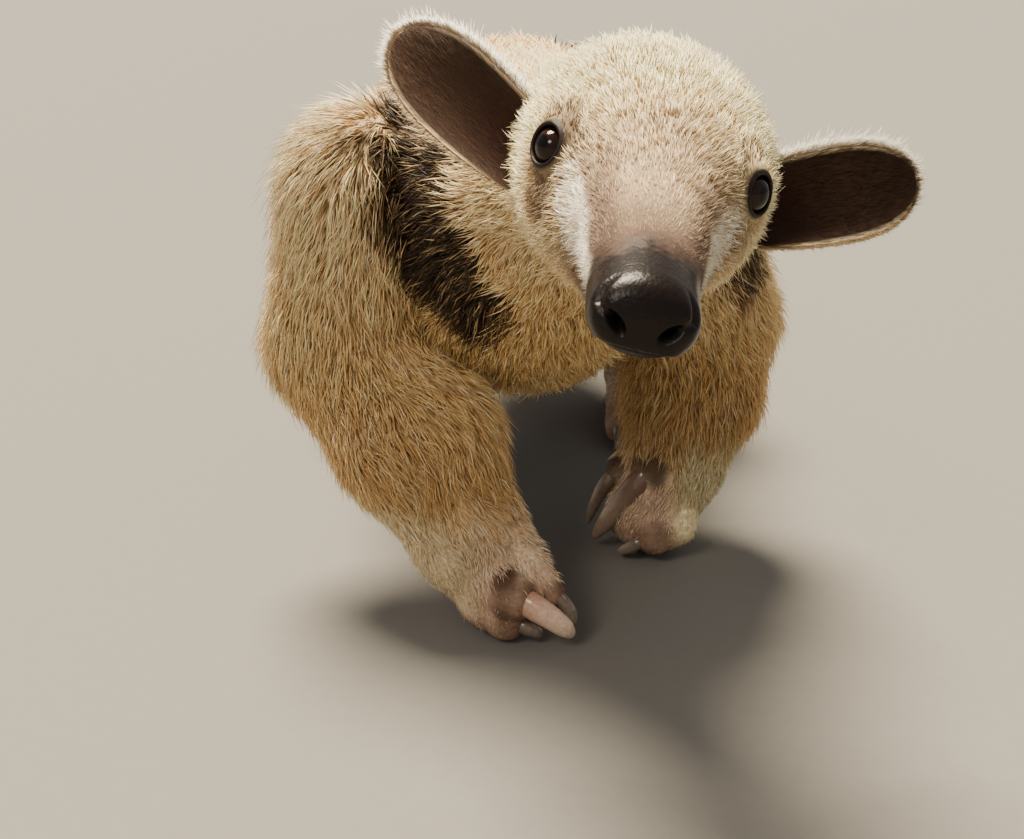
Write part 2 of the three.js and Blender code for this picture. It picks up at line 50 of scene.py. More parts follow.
# Head frame: left, back and up from halfway between the eyes
EYE_MIDDLE = np.array([31.0, 68.7, 171.4])
HEAD_ROLL = np.radians(12.7)
HEAD_YAW = np.radians(-3.0)
EYE_SIDE, EYE_BACK, EYE_UP, EYE_RADIUS = 21.2, 1.6, -0.3, 5.4
LID_FACES = np.array([0.74, -0.65, 0.17])
LID_OPENING = (4.55, 4.25)  # half length and half height of the opening between the lids
LID_THICKNESS, LID_RIM, LID_REACH = 1.05, 0.6, 5.9
BROW_SIDE, BROW_BACK, BROW_UP, BROW_RADIUS = 19.5, 2.5, 1.5, 6.8
NOSTRIL = np.array([5.0, -71.2, -18.0])
NOSTRIL_LEAN = (0.72, 0.69)  # the way its long axis leans, outwards and up
NOSTRIL_HALF = (2.9, 1.45)  # half of its length and width
NOSTRIL_DEPTH, WING_DEPTH = 5.0, 1.05
UNDER_EYE = (23.5, -1.5, -9.5)  # the middle of the dark patch under an eye
CORNEA_RISE, CORNEA_REACH = 0.5, 0.75  # how proud it stands, and how far round the ball, in radians
MOUTH_UP = -22.8
# The groove round the wing of a nostril, in the head frame
WING_GROOVE = [[6.9, -71.8, -16.6, 0.9], [8.9, -71, -15, 0.9], [8.7, -70, -12.2, 0.9], [7.2, -69, -9.8, 0.6]]

# Head rows: back, half width, top, widest level, bottom
HEAD_ROWS = [
    [-73.6, 4, -14, -17, -20], [-72.6, 8, -11.4, -17, -22.8], [-70, 10.2, -9, -17, -25],
    [-66, 10.8, -7.6, -17, -26], [-58, 10.8, -5.5, -16, -26.8], [-46, 12, -1.8, -13.5, -27.8],
    [-30, 14.8, 4.5, -10.5, -29.5], [-15, 18.8, 11.5, -8, -31], [0, 24.8, 18.4, -6, -32.5],
    [14, 29.6, 23.6, -6, -34], [30, 32, 26.4, -5, -34.5], [46, 31.6, 26, -4, -33],
    [58, 28.5, 22, -4, -29], [67, 20.5, 14, -4.5, -21], [72, 8, 3, -5, -11],
]  # fmt: skip
# Neck and torso rows: y, middle x, half width, top, widest level, bottom
TRUNK_ROWS = [
    [96, 31, 14, 176, 165, 152], [108, 30.5, 26, 186, 164, 140], [128, 28.5, 31.5, 190, 161, 130],
    [152, 23, 36, 190, 156, 117], [176, 15.5, 43, 189, 149, 101], [202, 8, 50, 188, 141, 84],
    [232, 3, 56, 187, 133, 69], [275, 0, 60.5, 185, 125, 58], [325, 0, 64.5, 183.5, 120, 54],
    [375, 0, 67, 183, 117, 52], [420, 0, 65, 181, 116, 55], [460, 0, 58, 175, 117, 63],
    [495, 0, 47, 163, 115, 75], [520, 0, 33, 147, 110, 82], [534, 0, 18, 130, 108, 92],
]  # fmt: skip
# Limbs: balls as x, y, z and radius, joined by cones
ARMS = {
    "right": [[-46, 216, 143, 31], [-56, 229, 92, 28.5], [-32, 209, 62, 27.5], [-14, 199, 30, 18.5],
              [-6, 196, 14.5, 15]],
    "left": [[48, 218, 140, 31], [68, 262, 90, 28.5], [67, 265, 61, 25], [61, 263, 36, 18.5],
             [52.5, 259, 16.5, 17]],
}  # fmt: skip
FINGERS = {
    "right": [
        [[1, 200, 17, 6.5], [7.5, 196.5, 10.5, 4.8]],
        [[0, 192, 31, 8], [6, 184, 27, 6], [13.5, 177.5, 19, 4.7]],
        [[-5, 187, 20, 11.5], [0, 178.5, 18, 9.2]],
        [[-8, 188, 11, 9.5], [-2, 181, 8.4, 7.6]],
    ],
    "left": [
        [[50, 270, 24, 6.5], [45, 269, 18, 5]],
        [[52, 264, 36, 8.4], [40, 259, 32, 6]],
        [[61, 256, 38, 11.5], [53, 251, 36, 8.8]],
        [[60, 250, 14, 9.5], [53, 246, 11, 7.8]],
    ],
}
FINGER_CLAWS = {
    "right": [
        [[6, 197.5, 11.5], [11, 195.5, 8.5], [13, 196.5, 5.6], [12.5, 199, 3]],
        [[11, 179, 21], [16.5, 175.5, 16.5], [19.5, 175.5, 11.5], [19.5, 178.5, 7.5]],
        [[0, 178, 18], [8, 173, 15.5], [16, 172, 10], [20, 175.5, 4.6]],
        [[-3, 182, 9], [4, 177, 7], [8.5, 177.5, 4.8], [8, 181, 2.8]],
    ],
    "left": [
        [[47, 269.5, 19.5], [41, 268, 15.5], [38, 269, 11], [37.5, 272, 7]],
        [[43, 260, 33.5], [35.5, 258, 27], [31, 260, 17], [29, 264, 8]],
        [[56, 252.5, 38], [47.5, 249, 31], [37.5, 251, 17.5], [31, 258, 4.8]],
        [[56, 248, 12], [47, 244, 8.5], [42, 246, 5], [40, 250, 2.8]],
    ],
}
FINGER_CLAW_RADIUS = (2.2, 3.0, 5.1, 3.1)
FINGER_CLAW_FLATNESS, TOE_CLAW_FLATNESS = 0.86, 0.75
THIGHS = {
    "right": [[-37, 440, 124, 42], [-61, 412, 84, 30.5], [-59, 462, 38, 17.5], [-58, 476, 14.5, 15]],
    "left": [[38, 432, 124, 42], [64, 397, 86, 30.5], [64, 439, 38, 17.5], [63, 453, 14.5, 15]],
}
TOE_LINE = {"right": 420.0, "left": 397.0}  # y of the roots of the toes
TOES = [(-16, 11, 5.6), (-8.4, 17, 5.9), (0, 19, 6.0), (8.2, 17, 5.9), (15.6, 11, 5.6)]
TOE_CLAW_RADIUS = 2.5
# Tail: points of its middle line, and where they sink below the floor the tail lies on it
TAIL_LINE = [
    [0, 505, 121], [0, 538, 106], [2, 574, 81], [6, 612, 50], [14, 652, 22], [26, 700, -2],
    [36, 752, -12], [36, 804, -14], [20, 850, -14], [-10, 880, -14], [-43, 888, -14], [-66, 876, -14],
]  # fmt: skip
TAIL_RADIUS, TAIL_TIP_RADIUS, TAIL_SINK, TAIL_RINGS = 27.0, 3.6, 0.8, 170
TAIL_BARE_FROM = 640  # y where the coat of the tail gives way to scales
# Ears: root, tip and the way the cup opens, in the head frame
EARS = {
    "right": ([-30.5, 33, -7], [-66.5, 42, 13.5], [-0.12, -0.93, 0.3]),
    "left": ([31.5, 34, -7], [69, 43, 8.5], [0.05, -0.94, 0.28]),
}
EAR_ROOT_WIDTH, EAR_WIDTH, EAR_WIDEST_AT = 16.0, 23.0, 0.58
EAR_SUNK, EAR_ROWS, EAR_COLUMNS = 8.0, 44, 30
EAR_BEND = (78.0, 34.0)  # half of the arc of the cup's wall, at root and tip, in degrees
EAR_CURL = 1.5  # how far the tip curls forward
EAR_THICKNESS = 1.3  # at the root

PARTS = ("head", "trunk", "fore_right", "fore_left", "hind_right", "hind_left", "tail")
LIMBS = (ARMS["right"], ARMS["left"], THIGHS["right"], THIGHS["left"])
FAR = 80.0  # a distance past which nothing is worked out
SKIN_STEP = 3.3  # the mesh of the skin before it is refined
# of the planned tufts, so that the coat keeps within its count of triangles
COAT_SHARE = 0.94  # the share of the planned tufts that is grown
SHORT_HAIR = 3.4  # shorter tufts are straight, and longer ones have a knee
MOST_SHORT, MOST_LONG = 48000, 19500  # tufts in one piece
ROOTED = 0.5  # how deep the foot of a tuft sits in the skin
LOWEST_ROOT, LOWEST_HAIR = 1.2, 0.3  # heights above the floor


# Vectors, with one row for each point
def unit(v):
    """Each vector at length 1."""
    return v / np.maximum(np.linalg.norm(v, axis=-1, keepdims=True), 1e-9)


def head_turn():
    """The turn from the head frame to the drawing frame: the head's lean, then its swing to one side."""
    roll, yaw = HEAD_ROLL, HEAD_YAW
    leaned = np.array([[np.cos(roll), 0, np.sin(roll)], [0, 1, 0], [-np.sin(roll), 0, np.cos(roll)]])
    swung = np.array([[np.cos(yaw), -np.sin(yaw), 0], [np.sin(yaw), np.cos(yaw), 0], [0, 0, 1]])
    return swung @ leaned


HEAD = head_turn()


def into_head(p):
    """Places of the drawing frame in the head frame."""
    return (p - EYE_MIDDLE) @ HEAD


def from_head(h):
    """Places of the head frame in the drawing frame."""
    return np.asarray(h, float) @ HEAD.T + EYE_MIDDLE


def shift_to_row_frame():
    """The step from the drawing frame to the row frame, read off the two eyes of the solids."""
    middles = [(np.array(low) + np.array(high)) / 2 for low, high in map(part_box, ("eye_left", "eye_right"))]
    drawn = from_head([0, EYE_BACK, EYE_UP])
    return (middles[0] + middles[1]) / 2 * 1000 - drawn


SHIFT = shift_to_row_frame()


# Soft steps, waves and blends
def fade(x, start, end):
    """A soft step from 0 at start to 1 at end."""
    t = np.clip((np.asarray(x, float) - start) / (end - start), 0, 1)
    return t * t * (3 - 2 * t)


def wave_table(count, seed):
    """Ways and starts of the waves that one uneven field is made of."""
    draw = np.random.default_rng(seed)
    ways = unit(draw.normal(size=(count, 3))) * draw.uniform(0.6, 1.5, (count, 1))
    return ways, draw.uniform(0, 6.3, count)


WAVES = [wave_table(7, seed) for seed in (3, 5, 8, 11)]


def unevenness(p, size, which=0):
    """A smooth uneven field from about -1 to 1, whose swells are about one size apart."""
    ways, starts = WAVES[which]
    return np.sin(p @ (ways.T * (2 * np.pi / size)) + starts).sum(1) / 3.2


def melted(a, b, softness):
    """Two forms joined, with their meeting rounded."""
    t = np.clip(0.5 + 0.5 * (b - a) / softness, 0, 1)
    return b + (a - b) * t - softness * t * (1 - t)


def carved(a, b, softness):
    """What two forms share, with its edge rounded."""
    return -melted(-a, -b, softness)


# Fields: about the distance to a surface, in millimetres, and negative inside it
def smooth_rows(rows, step=0.5):
    """A curve through rows, read off at even steps of their first column."""
    rows = np.array(rows, float)
    x, p = rows[:, 0], rows[:, 1:]
    slope = np.empty_like(p)
    slope[1:-1] = (p[2:] - p[:-2]) / (x[2:] - x[:-2])[:, None]
    slope[0] = (p[1] - p[0]) / (x[1] - x[0])
    slope[-1] = (p[-1] - p[-2]) / (x[-1] - x[-2])
    at = np.linspace(x[0], x[-1], int((x[-1] - x[0]) / step) + 1)
    i = np.clip(np.searchsorted(x, at, "right") - 1, 0, len(x) - 2)
    span = (x[i + 1] - x[i])[:, None]
    t = (at[:, None] - x[i][:, None]) / span
    start, end = p[i], p[i + 1]
    table = start * (1 + 2 * t) * (1 - t) ** 2 + slope[i] * span * t * (1 - t) ** 2
    table += end * t * t * (3 - 2 * t) + slope[i + 1] * span * t * t * (t - 1)
    return at, table


HEAD_TABLE = smooth_rows([[row[0], 0, *row[1:]] for row in HEAD_ROWS])
TRUNK_TABLE = smooth_rows(TRUNK_ROWS)


def table_at(table, place):
    """Each column of a table of smooth_rows, read at each place."""
    at, values = table
    return [np.interp(place, at, column) for column in values.T]


def lofted(table, side, along, up, softness=1.0):
    """Field of a body whose cross sections are half ovals above and below its widest level."""
    middle, half, top, level, bottom = table_at(table, along)
    high = np.where(up > level, top - level, level - bottom)
    field = (np.hypot((side - middle) / half, (up - level) / high) - 1) * np.minimum(half, high)
    beyond = np.maximum(table[0][0] - along, along - table[0][-1])
    return carved(field, beyond, softness)


def cone_parts(p, start, end):
    """Field of a round cone between two balls, and the share of the way along it."""
    start, end = np.asarray(start, float), np.asarray(end, float)
    line = end[:3] - start[:3]
    reach = p - start[:3]
    t = np.clip(reach @ line / (line @ line), 0, 1)
    return np.linalg.norm(reach - t[:, None] * line, axis=1) - (start[3] + (end[3] - start[3]) * t), t


def melt_cone(field, p, start, end, softness):
    """Joins a cone into a field, in place, worked out only where the cone is near."""
    near = np.all(p > np.minimum(start[:3], end[:3]) - max(start[3], end[3]) - 22, axis=1)
    near &= np.all(p < np.maximum(start[:3], end[:3]) + max(start[3], end[3]) + 22, axis=1)
    if near.any():
        field[near] = melted(field[near], cone_parts(p[near], start, end)[0], softness)


def toes_of(side):
    """Root, tip and radius of each toe, with the way it points."""
    away = 1 if side == "left" else -1
    middle = THIGHS[side][3][0] + away * 2
    for across, length, radius in TOES:
        turn = away * (0.14 + across * 0.012)
        way = np.array([np.sin(turn), -np.cos(turn), 0])
        root = np.array([middle + across * away, TOE_LINE[side] - np.cos(across / 12) * 2, radius - 0.6])
        yield root, root + way * length, radius, way


def tail_path(count=64):
    """Even points along the tail's middle line, with its radius at each."""
    points = np.array(TAIL_LINE, float)
    dense = smooth_rows(np.column_stack([np.arange(len(points)), points]), 0.02)[1]
    gone = np.concatenate([[0], np.cumsum(np.linalg.norm(np.diff(dense, axis=0), axis=1))])
    share = np.linspace(0, 1, count)
    path = np.column_stack([np.interp(share * gone[-1], gone, dense[:, k]) for k in range(3)])
    radius = TAIL_TIP_RADIUS + (TAIL_RADIUS - TAIL_TIP_RADIUS) * (1 - share) ** 1.25
    path[:, 2] = (path[:, 2] + radius - TAIL_SINK + np.hypot(path[:, 2] - radius + TAIL_SINK, 4)) / 2
    return np.column_stack([path, radius])


TAIL_PATH = tail_path()


def along_tail(p):
    """How far along the tail each place is, from 0 to 1."""
    nearest, share = np.full(len(p), np.inf), np.zeros(len(p))
    for i, (start, end) in enumerate(zip(TAIL_PATH, TAIL_PATH[1:])):
        away, t = cone_parts(p, start, end)
        closer = away < nearest
        nearest[closer], share[closer] = away[closer], (i + t[closer]) / (len(TAIL_PATH) - 1)
    return share


def part_fields(p):
    """The field of each main part of the body, in the order of PARTS."""
    fields = np.full((len(PARTS), len(p)), FAR)
    h = into_head(p)
    near = (np.abs(h[:, 0]) < 60) & (h[:, 1] > -100) & (h[:, 1] < 100) & (np.abs(h[:, 2]) < 70)
    side, back, up = h[near].T
    head = lofted(HEAD_TABLE, side, back, up, 2.5)
    brow = np.sqrt((np.abs(side) - BROW_SIDE) ** 2 + (back - BROW_BACK) ** 2 + (up - BROW_UP) ** 2)
    fields[0, near] = melted(head, brow - BROW_RADIUS, 5)
    near = (p[:, 1] > 70) & (p[:, 1] < 560) & (p[:, 2] > 20)
    fields[1, near] = lofted(TRUNK_TABLE, *p[near].T, 3)
    for i, side in ((2, "right"), (3, "left")):
        arm = ARMS[side]
        for start, end in zip(arm, arm[1:]):
            melt_cone(fields[i], p, start, end, 8)
        for finger in FINGERS[side]:
            for start, end in zip(finger, finger[1:]):
                melt_cone(fields[i], p, start, end, 3)
    for i, side in ((4, "right"), (5, "left")):
        leg = THIGHS[side]
        for start, end in zip(leg, leg[1:]):
            melt_cone(fields[i], p, start, end, 10)
        for across in (-7, 7):
            melt_cone(fields[i], p, leg[3], [leg[3][0] + across, TOE_LINE[side] + 4, 10, 12], 5)
        for root, tip, radius, _ in toes_of(side):
            melt_cone(fields[i], p, [*root, radius], [*tip, radius - 0.5], 3)
    for start, end in zip(TAIL_PATH, TAIL_PATH[1:]):
        melt_cone(fields[6], p, start, end, 2)
    return fields


def part_weights(fields, reach=5.0):
    """How much each part counts at each place, so that looks change gradually between parts."""
    weights = np.exp(-np.clip(fields, -25, FAR) / reach)
    weights /= weights.sum(0)
    return weights


def blended(weights, values):
    """A value for each point from one value, or one row of values, for each part."""
    return sum(weight * value for weight, value in zip(weights, values))


def coat_depth(p, weights):
    """How far the skin lies under the tips of the coat."""
    h = into_head(p)
    head = np.interp(h[:, 1], [-74, -52, -30, 0, 30, 60], [0.1, 0.3, 1.1, 1.7, 2.3, 2.8])
    trunk = np.interp(p[:, 1], [100, 150, 200, 260], [2.6, 3.2, 4.0, 4.8])
    fore = np.interp(p[:, 2], [0, 22, 45, 80, 150], [0.2, 0.7, 2.0, 3.4, 4.2])
    hind = np.interp(p[:, 2], [0, 20, 40, 80, 150], [0.2, 0.6, 1.8, 3.8, 4.8])
    tail = np.interp(p[:, 1], [520, 600, 690, 740, 890], [4.2, 3.2, 1.2, 0.4, 0.2])
    return blended(weights, [head, trunk, fore, fore, hind, hind, tail])


def body_field(p):
    """The whole animal out to the tips of its coat, as one form."""
    fields = part_fields(p)
    whole = melted(fields[0], fields[1], 14)
    for i, softness in ((2, 9), (3, 9), (4, 12), (5, 12), (6, 12)):
        whole = melted(whole, fields[i], softness)
    return whole, fields


def eye_middle(side):
    """The middle of an eyeball, with side 1 for the animal's left and -1 for its right."""
    return from_head([side * EYE_SIDE, EYE_BACK, EYE_UP])


def eye_axes(side):
    """The way the eye faces, and the ways along and across the opening of the lids."""
    faces = unit(HEAD @ (LID_FACES * [side, 1, 1]))
    up = HEAD @ np.array([side * 0.25, 0.12, 1.0])
    up = unit(up - faces * (up @ faces))
    return faces, np.cross(up, faces), up


def from_lids(p):
    """Distance from the line each eye looks along, or far where that eye is not near."""
    nearest = np.full(len(p), FAR)
    for side in (1, -1):
        out, along, up = ((p - eye_middle(side)) @ way for way in eye_axes(side))
        nearest = np.minimum(nearest, np.where((out > -1) & (out < 14), np.hypot(along, up), FAR))
    return nearest


def with_lids(field, p):
    """Closed lids that bulge over the eyeballs, with fine creases round them."""
    for side in (1, -1):
        middle = eye_middle(side)
        near = np.linalg.norm(p - middle, axis=1) < 20
        if not near.any():
            continue
        away = np.linalg.norm(p[near] - middle, axis=1)
        f = melted(field[near], away - EYE_RADIUS - LID_THICKNESS, 3.0)
        crease = np.cos(2 * np.pi * (away - 7.0) / 1.6) * fade(away, 6.3, 7.2) * (1 - fade(away, 9, 12))
        field[near] = f - 0.14 * crease
    return field


def skin_field(p):
    """The skin: the body less the depth of its coat, with lids, nose and the flats under the feet."""
    whole, fields = body_field(p)
    field = whole + coat_depth(p, part_weights(fields))
    low = p[:, 2] < 48
    q = p[low]
    creases = np.sin(q[:, 2] * 2.4 + unevenness(q, 9.0) * 2) * np.sin(q[:, 1] * 1.7 + q[:, 0] * 1.1)
    field[low] += 0.09 * creases * (1 - fade(q[:, 2], 36, 48))
    return carved(with_lids(field, p), 0.25 - p[:, 2], 1.2)


def opened_lids(points):
    """The skin over each eyeball turned in at the rims of the lids, and on round the back of the ball."""
    points = points.copy()
    ball = EYE_RADIUS + 0.05
    for side in (1, -1):
        middle, ways = eye_middle(side), eye_axes(side)
        out, along, up = ((points - middle) @ way for way in ways)
        near = (np.hypot(along, up) < LID_REACH) & (out > 0) & (out < 12)
        share = np.hypot(along, up)[near] / LID_REACH
        turn = np.arctan2(up[near], along[near])
        edge = 1 / np.hypot(np.cos(turn) / LID_OPENING[0], np.sin(turn) / LID_OPENING[1])
        lid = edge + LID_RIM + (LID_REACH - edge - LID_RIM) * np.clip((share - 0.8) / 0.2, 0, 1)
        flat = (np.cos(turn) * lid)[:, None] * ways[1] + (np.sin(turn) * lid)[:, None] * ways[2] + middle
        low, high = np.zeros(len(lid)), np.full(len(lid), 10.0)
        for _ in range(14):
            half = (low + high) / 2
            within = skin_field(flat + half[:, None] * ways[0]) < 0
            low, high = np.where(within, half, low), np.where(within, high, half)
        rolled = np.clip((0.8 - share) / 0.2, 0, 1) * np.pi / 2
        sunk = np.clip((0.6 - share) / 0.08, 0, 1)
        behind = np.clip((0.52 - share) / 0.52, 0, 1)
        seat = np.arcsin(edge / ball)
        polar = seat + (np.pi - seat) * behind
        across = np.where(behind > 0, ball * np.sin(polar), lid - LID_RIM * np.sin(rolled))
        height = low - 0.45 * (1 - np.cos(rolled))
        height = height + (ball * np.cos(seat) - height) * sunk
        height = np.where(behind > 0, ball * np.cos(polar), height)
        places = [np.cos(turn) * across, np.sin(turn) * across, height]
        points[near] = middle + sum(v[:, None] * way for v, way in zip(places, (ways[1], ways[2], ways[0])))
    return points


def nostril_oval(mirrored):
    """Distance from the middle of a nostril, where its edge is at 1, in the mirrored head frame."""
    q = mirrored - NOSTRIL
    wide, high = NOSTRIL_LEAN
    long, short = q[:, 0] * wide + q[:, 2] * high, q[:, 2] * wide - q[:, 0] * high
    return np.hypot(long / NOSTRIL_HALF[0], short / NOSTRIL_HALF[1])


def pressed_nose(points, normals):
    """The skin pressed in at the nostrils, round their wings, along the mouth and in the cleft above it."""
    h = into_head(points)
    near = (h[:, 1] < -52) & (points[:, 2] > 100)
    side, back, up = h[near].T
    mirrored = np.column_stack([np.abs(side), back, up])
    depth = NOSTRIL_DEPTH * (1 - fade(nostril_oval(mirrored), -0.5, 1.15)) * (1 - fade(back, -69, -66))
    groove = outside_line(mirrored, WING_GROOVE) + 0.9
    depth += WING_DEPTH * np.exp(-((groove / 0.95) ** 2))
    front = 1 - fade(back, -66, -60)
    depth += 0.8 * np.exp(-(((up - MOUTH_UP) / 0.45) ** 2)) * front
    depth += 1.0 * fade(MOUTH_UP - up, -0.2, 1.2) * front
    depth += 0.35 * np.exp(-((side / 0.6) ** 2)) * fade(-up, 17, 19) * (1 - fade(-up, 22, 23)) * front
    points = points.copy()
    points[near] -= normals[near] * depth[:, None]
    return points


# A surface from a field
def net_surface(field, low, high, step):
    """Corners and four-sided faces of the surface where the field is zero."""
    axes = [np.arange(a, b + step, step) for a, b in zip(low, high)]
    shape = [len(axis) for axis in axes]
    grid = np.stack(np.meshgrid(*axes, indexing="ij"), -1).reshape(-1, 3)
    values = np.concatenate([field(part) for part in np.array_split(grid, 16)]).reshape(shape)
    inside = values < 0
    corners = [(i, j, k) for i in (0, 1) for j in (0, 1) for k in (0, 1)]
    windows = [tuple(slice(v, n - 1 + v) for v, n in zip(c, shape)) for c in corners]
    count = sum(inside[window].astype(np.int8) for window in windows)
    cells = np.argwhere((count > 0) & (count < 8))
    at = {c: values[tuple((cells + c).T)] for c in corners}
    total, crossings = np.zeros((len(cells), 3)), np.zeros(len(cells))
    for c in corners:
        for axis in range(3):
            if c[axis]:
                continue
            d = tuple(v + (n == axis) for n, v in enumerate(c))
            crossed = (at[c] < 0) != (at[d] < 0)
            share = np.where(crossed, at[c] / np.where(crossed, at[c] - at[d], 1), 0)
            total += crossed[:, None] * (np.array(c) + share[:, None] * np.eye(3)[axis])
            crossings += crossed
    points = np.array(low) + step * (cells + total / crossings[:, None])
    number = np.full([n - 1 for n in shape], -1)
    number[tuple(cells.T)] = np.arange(len(cells))
    quads = []
    for axis, (m, n) in enumerate(((1, 2), (2, 0), (0, 1))):
        ahead = np.moveaxis(inside, axis, 0)
        changed = np.moveaxis(ahead[1:] != ahead[:-1], 0, axis)
        edge = np.argwhere(changed)
        edge = edge[(edge[:, m] > 0) & (edge[:, n] > 0)]
        edge = edge[(edge[:, m] < shape[m] - 1) & (edge[:, n] < shape[n] - 1)]
        ring = []
        for back_m, back_n in ((1, 1), (0, 1), (0, 0), (1, 0)):
            cell = edge.copy()
            cell[:, m] -= back_m
            cell[:, n] -= back_n
            ring.append(number[tuple(cell.T)])
        ring = np.stack(ring, 1)
        solid_first = inside[tuple(edge.T)]
        ring[~solid_first] = ring[~solid_first][:, ::-1]
        quads.append(ring)
    return points, np.concatenate(quads)


def slopes(field, p, reach=0.2):
    """A field's value at each place, and how it grows along each axis."""
    here = field(p)
    ways = [field(p + reach * axis) - here for axis in np.eye(3)]
    return here, np.stack(ways, 1) / reach


def settled(field, p, turns=3, limit=1.5):
    """Points moved onto the zero of a field, none further than the limit."""
    start = p
    for _ in range(turns):
        here, slope = slopes(field, p)
        steep = np.maximum((slope**2).sum(1), 0.2)
        p = p - slope * (here / steep)[:, None]
        moved = p - start
        far = np.linalg.norm(moved, axis=1)
        p = start + moved * np.minimum(1, limit / np.maximum(far, 1e-9))[:, None]
    return p


def in_triangles(points, quads):
    """Each four-sided face cut along its shorter diagonal."""
    a, b, c, d = quads.T
    short = np.linalg.norm(points[a] - points[c], axis=1) < np.linalg.norm(points[b] - points[d], axis=1)
    first = np.where(short[:, None], np.stack([a, b, c], 1), np.stack([a, b, d], 1))
    second = np.where(short[:, None], np.stack([a, c, d], 1), np.stack([b, c, d], 1))
    return np.concatenate([first, second])


def edges_of(faces, count):
    """Each edge once, and the edges of each triangle."""
    low = np.minimum(faces, np.roll(faces, -1, axis=1)).astype(np.int64)
    high = np.maximum(faces, np.roll(faces, -1, axis=1)).astype(np.int64)
    keys, where = np.unique((low * count + high).ravel(), return_inverse=True)
    return np.stack([keys // count, keys % count], 1), where.reshape(-1, 3)


def corner_normals(points, faces):
    corners = points[faces]
    sides = np.cross(corners[:, 1] - corners[:, 0], corners[:, 2] - corners[:, 0])
    total = np.zeros_like(points)
    for k in range(3):
        for axis in range(3):
            total[:, axis] += np.bincount(faces[:, k], sides[:, axis], len(points))
    return unit(total)


def evened(field, points, faces, rounds=2, only=None):
    """Points drawn towards the middle of their neighbours, along the surface."""
    edges, _ = edges_of(faces, len(points))
    degree = np.bincount(edges.ravel(), minlength=len(points))[:, None]
    only = np.arange(len(points)) if only is None else only
    for _ in range(rounds):
        total = np.zeros_like(points)
        for k in range(3):
            total[:, k] += np.bincount(edges[:, 0], points[edges[:, 1], k], len(points))
            total[:, k] += np.bincount(edges[:, 1], points[edges[:, 0], k], len(points))
        points[only] = (points * 0.45 + total / degree * 0.55)[only]
    points[only] = settled(field, points[only])
    return points


def refined(points, faces, wanted):
    """Each wanted triangle in four, with its neighbours split to match."""
    edges, where = edges_of(faces, len(points))
    split = np.zeros(len(edges), bool)
    split[where[wanted]] = True
    while (split[where].sum(1) == 2).any():
        split[where[split[where].sum(1) == 2]] = True
    fresh = np.full(len(edges), -1)
    fresh[split] = len(points) + np.arange(split.sum())
    added = points[edges[split]].mean(1)
    middles = fresh[where]
    count = (middles >= 0).sum(1)
    whole = faces[count == 0]
    (a, b, c), (ab, bc, ca) = faces[count == 3].T, middles[count == 3].T
    four = [np.stack(t, 1) for t in ((a, ab, ca), (ab, b, bc), (ca, bc, c), (ab, bc, ca))]
    one, mid = faces[count == 1], middles[count == 1]
    turn = np.argmax(mid >= 0, axis=1)
    rows = np.arange(len(one))
    a, b, c = (one[rows, (turn + k) % 3] for k in range(3))
    ab = mid[rows, turn]
    two = [np.stack([a, ab, c], 1), np.stack([ab, b, c], 1)]
    return np.concatenate([points, added]), np.concatenate([whole, *four, *two]), len(points)


def finer_places():
    """For each round of refinement, a test of which places get it."""
    eyes = [eye_middle(side) for side in (1, -1)]
    tips = [np.array(finger[-1][:3]) for side in FINGERS for finger in FINGERS[side]]

    def by_eye(p, reach):
        return np.min([np.linalg.norm(p - eye, axis=1) for eye in eyes], axis=0) < reach

    def first(p):
        head = (into_head(p)[:, 1] < 66) & (p[:, 1] < 130) & (p[:, 2] > 100)
        return head | ((p[:, 2] < 46) & (p[:, 1] < 480))

    def second(p):
        nose = (into_head(p)[:, 1] < -48) & (p[:, 2] > 100)
        fingers = np.min([np.linalg.norm(p - tip, axis=1) for tip in tips], axis=0) < 11
        return nose | fingers | by_eye(p, 13)

    def third(p):
        return ((into_head(p)[:, 1] < -57) & (p[:, 2] > 100)) | by_eye(p, 9)

    def fourth(p):
        h = into_head(p)
        nostrils = np.linalg.norm(np.abs(h) - np.abs(NOSTRIL), axis=1) < 4.6
        return (nostrils & (h[:, 1] < 0)) | by_eye(p, 7.2)

    return first, second, third, fourth


def skin_surface():
    """The skin's points and triangles, finest at eyes, nostrils and fingertips."""
    points, quads = net_surface(skin_field, (-99, -9, -9), (108, 897, 207), SKIN_STEP)
    points = settled(skin_field, points, 2)
    faces = in_triangles(points, quads)
    points = evened(skin_field, points, faces, 2)
    for wanted in finer_places():
        points, faces, old = refined(points, faces, wanted(points[faces].mean(1)))
        points = evened(skin_field, points, faces, 1, np.unique(faces[(faces >= old).any(1)]))
    points = opened_lids(points)
    return pressed_nose(points, corner_normals(points, faces)), faces


# Meshes and materials
def hex_colour(text, alpha=1.0):
    """A colour given in sRGB, as Blender's linear values."""
    c = np.array([int(text[i : i + 2], 16) for i in (1, 3, 5)]) / 255
    c = np.where(c <= 0.04045, c / 12.92, ((c + 0.055) / 1.055) ** 2.4)
    return (*c, alpha)


def linear(text):
    """The same colour as an array, for mixing."""
    return np.array(hex_colour(text)[:3])


def new_piece(name, points, faces, materials):
    """A mesh piece from drawing-frame points in millimetres and triangles."""
    mesh = bpy.data.meshes.new(name)
    mesh.vertices.add(len(points))
    mesh.vertices.foreach_set("co", ((points + SHIFT) / 1000).astype(np.float32).ravel())
    mesh.loops.add(len(faces) * 3)
    mesh.loops.foreach_set("vertex_index", faces.astype(np.int32).ravel())
    mesh.polygons.add(len(faces))
    mesh.polygons.foreach_set("loop_start", np.arange(0, len(faces) * 3, 3, dtype=np.int32))
    mesh.polygons.foreach_set("use_smooth", np.full(len(faces), True))
    mesh.update(calc_edges=True)
    for material in materials:
        mesh.materials.append(material)
    piece = bpy.data.objects.new(name, mesh)
    bpy.context.scene.collection.objects.link(piece)
    return piece


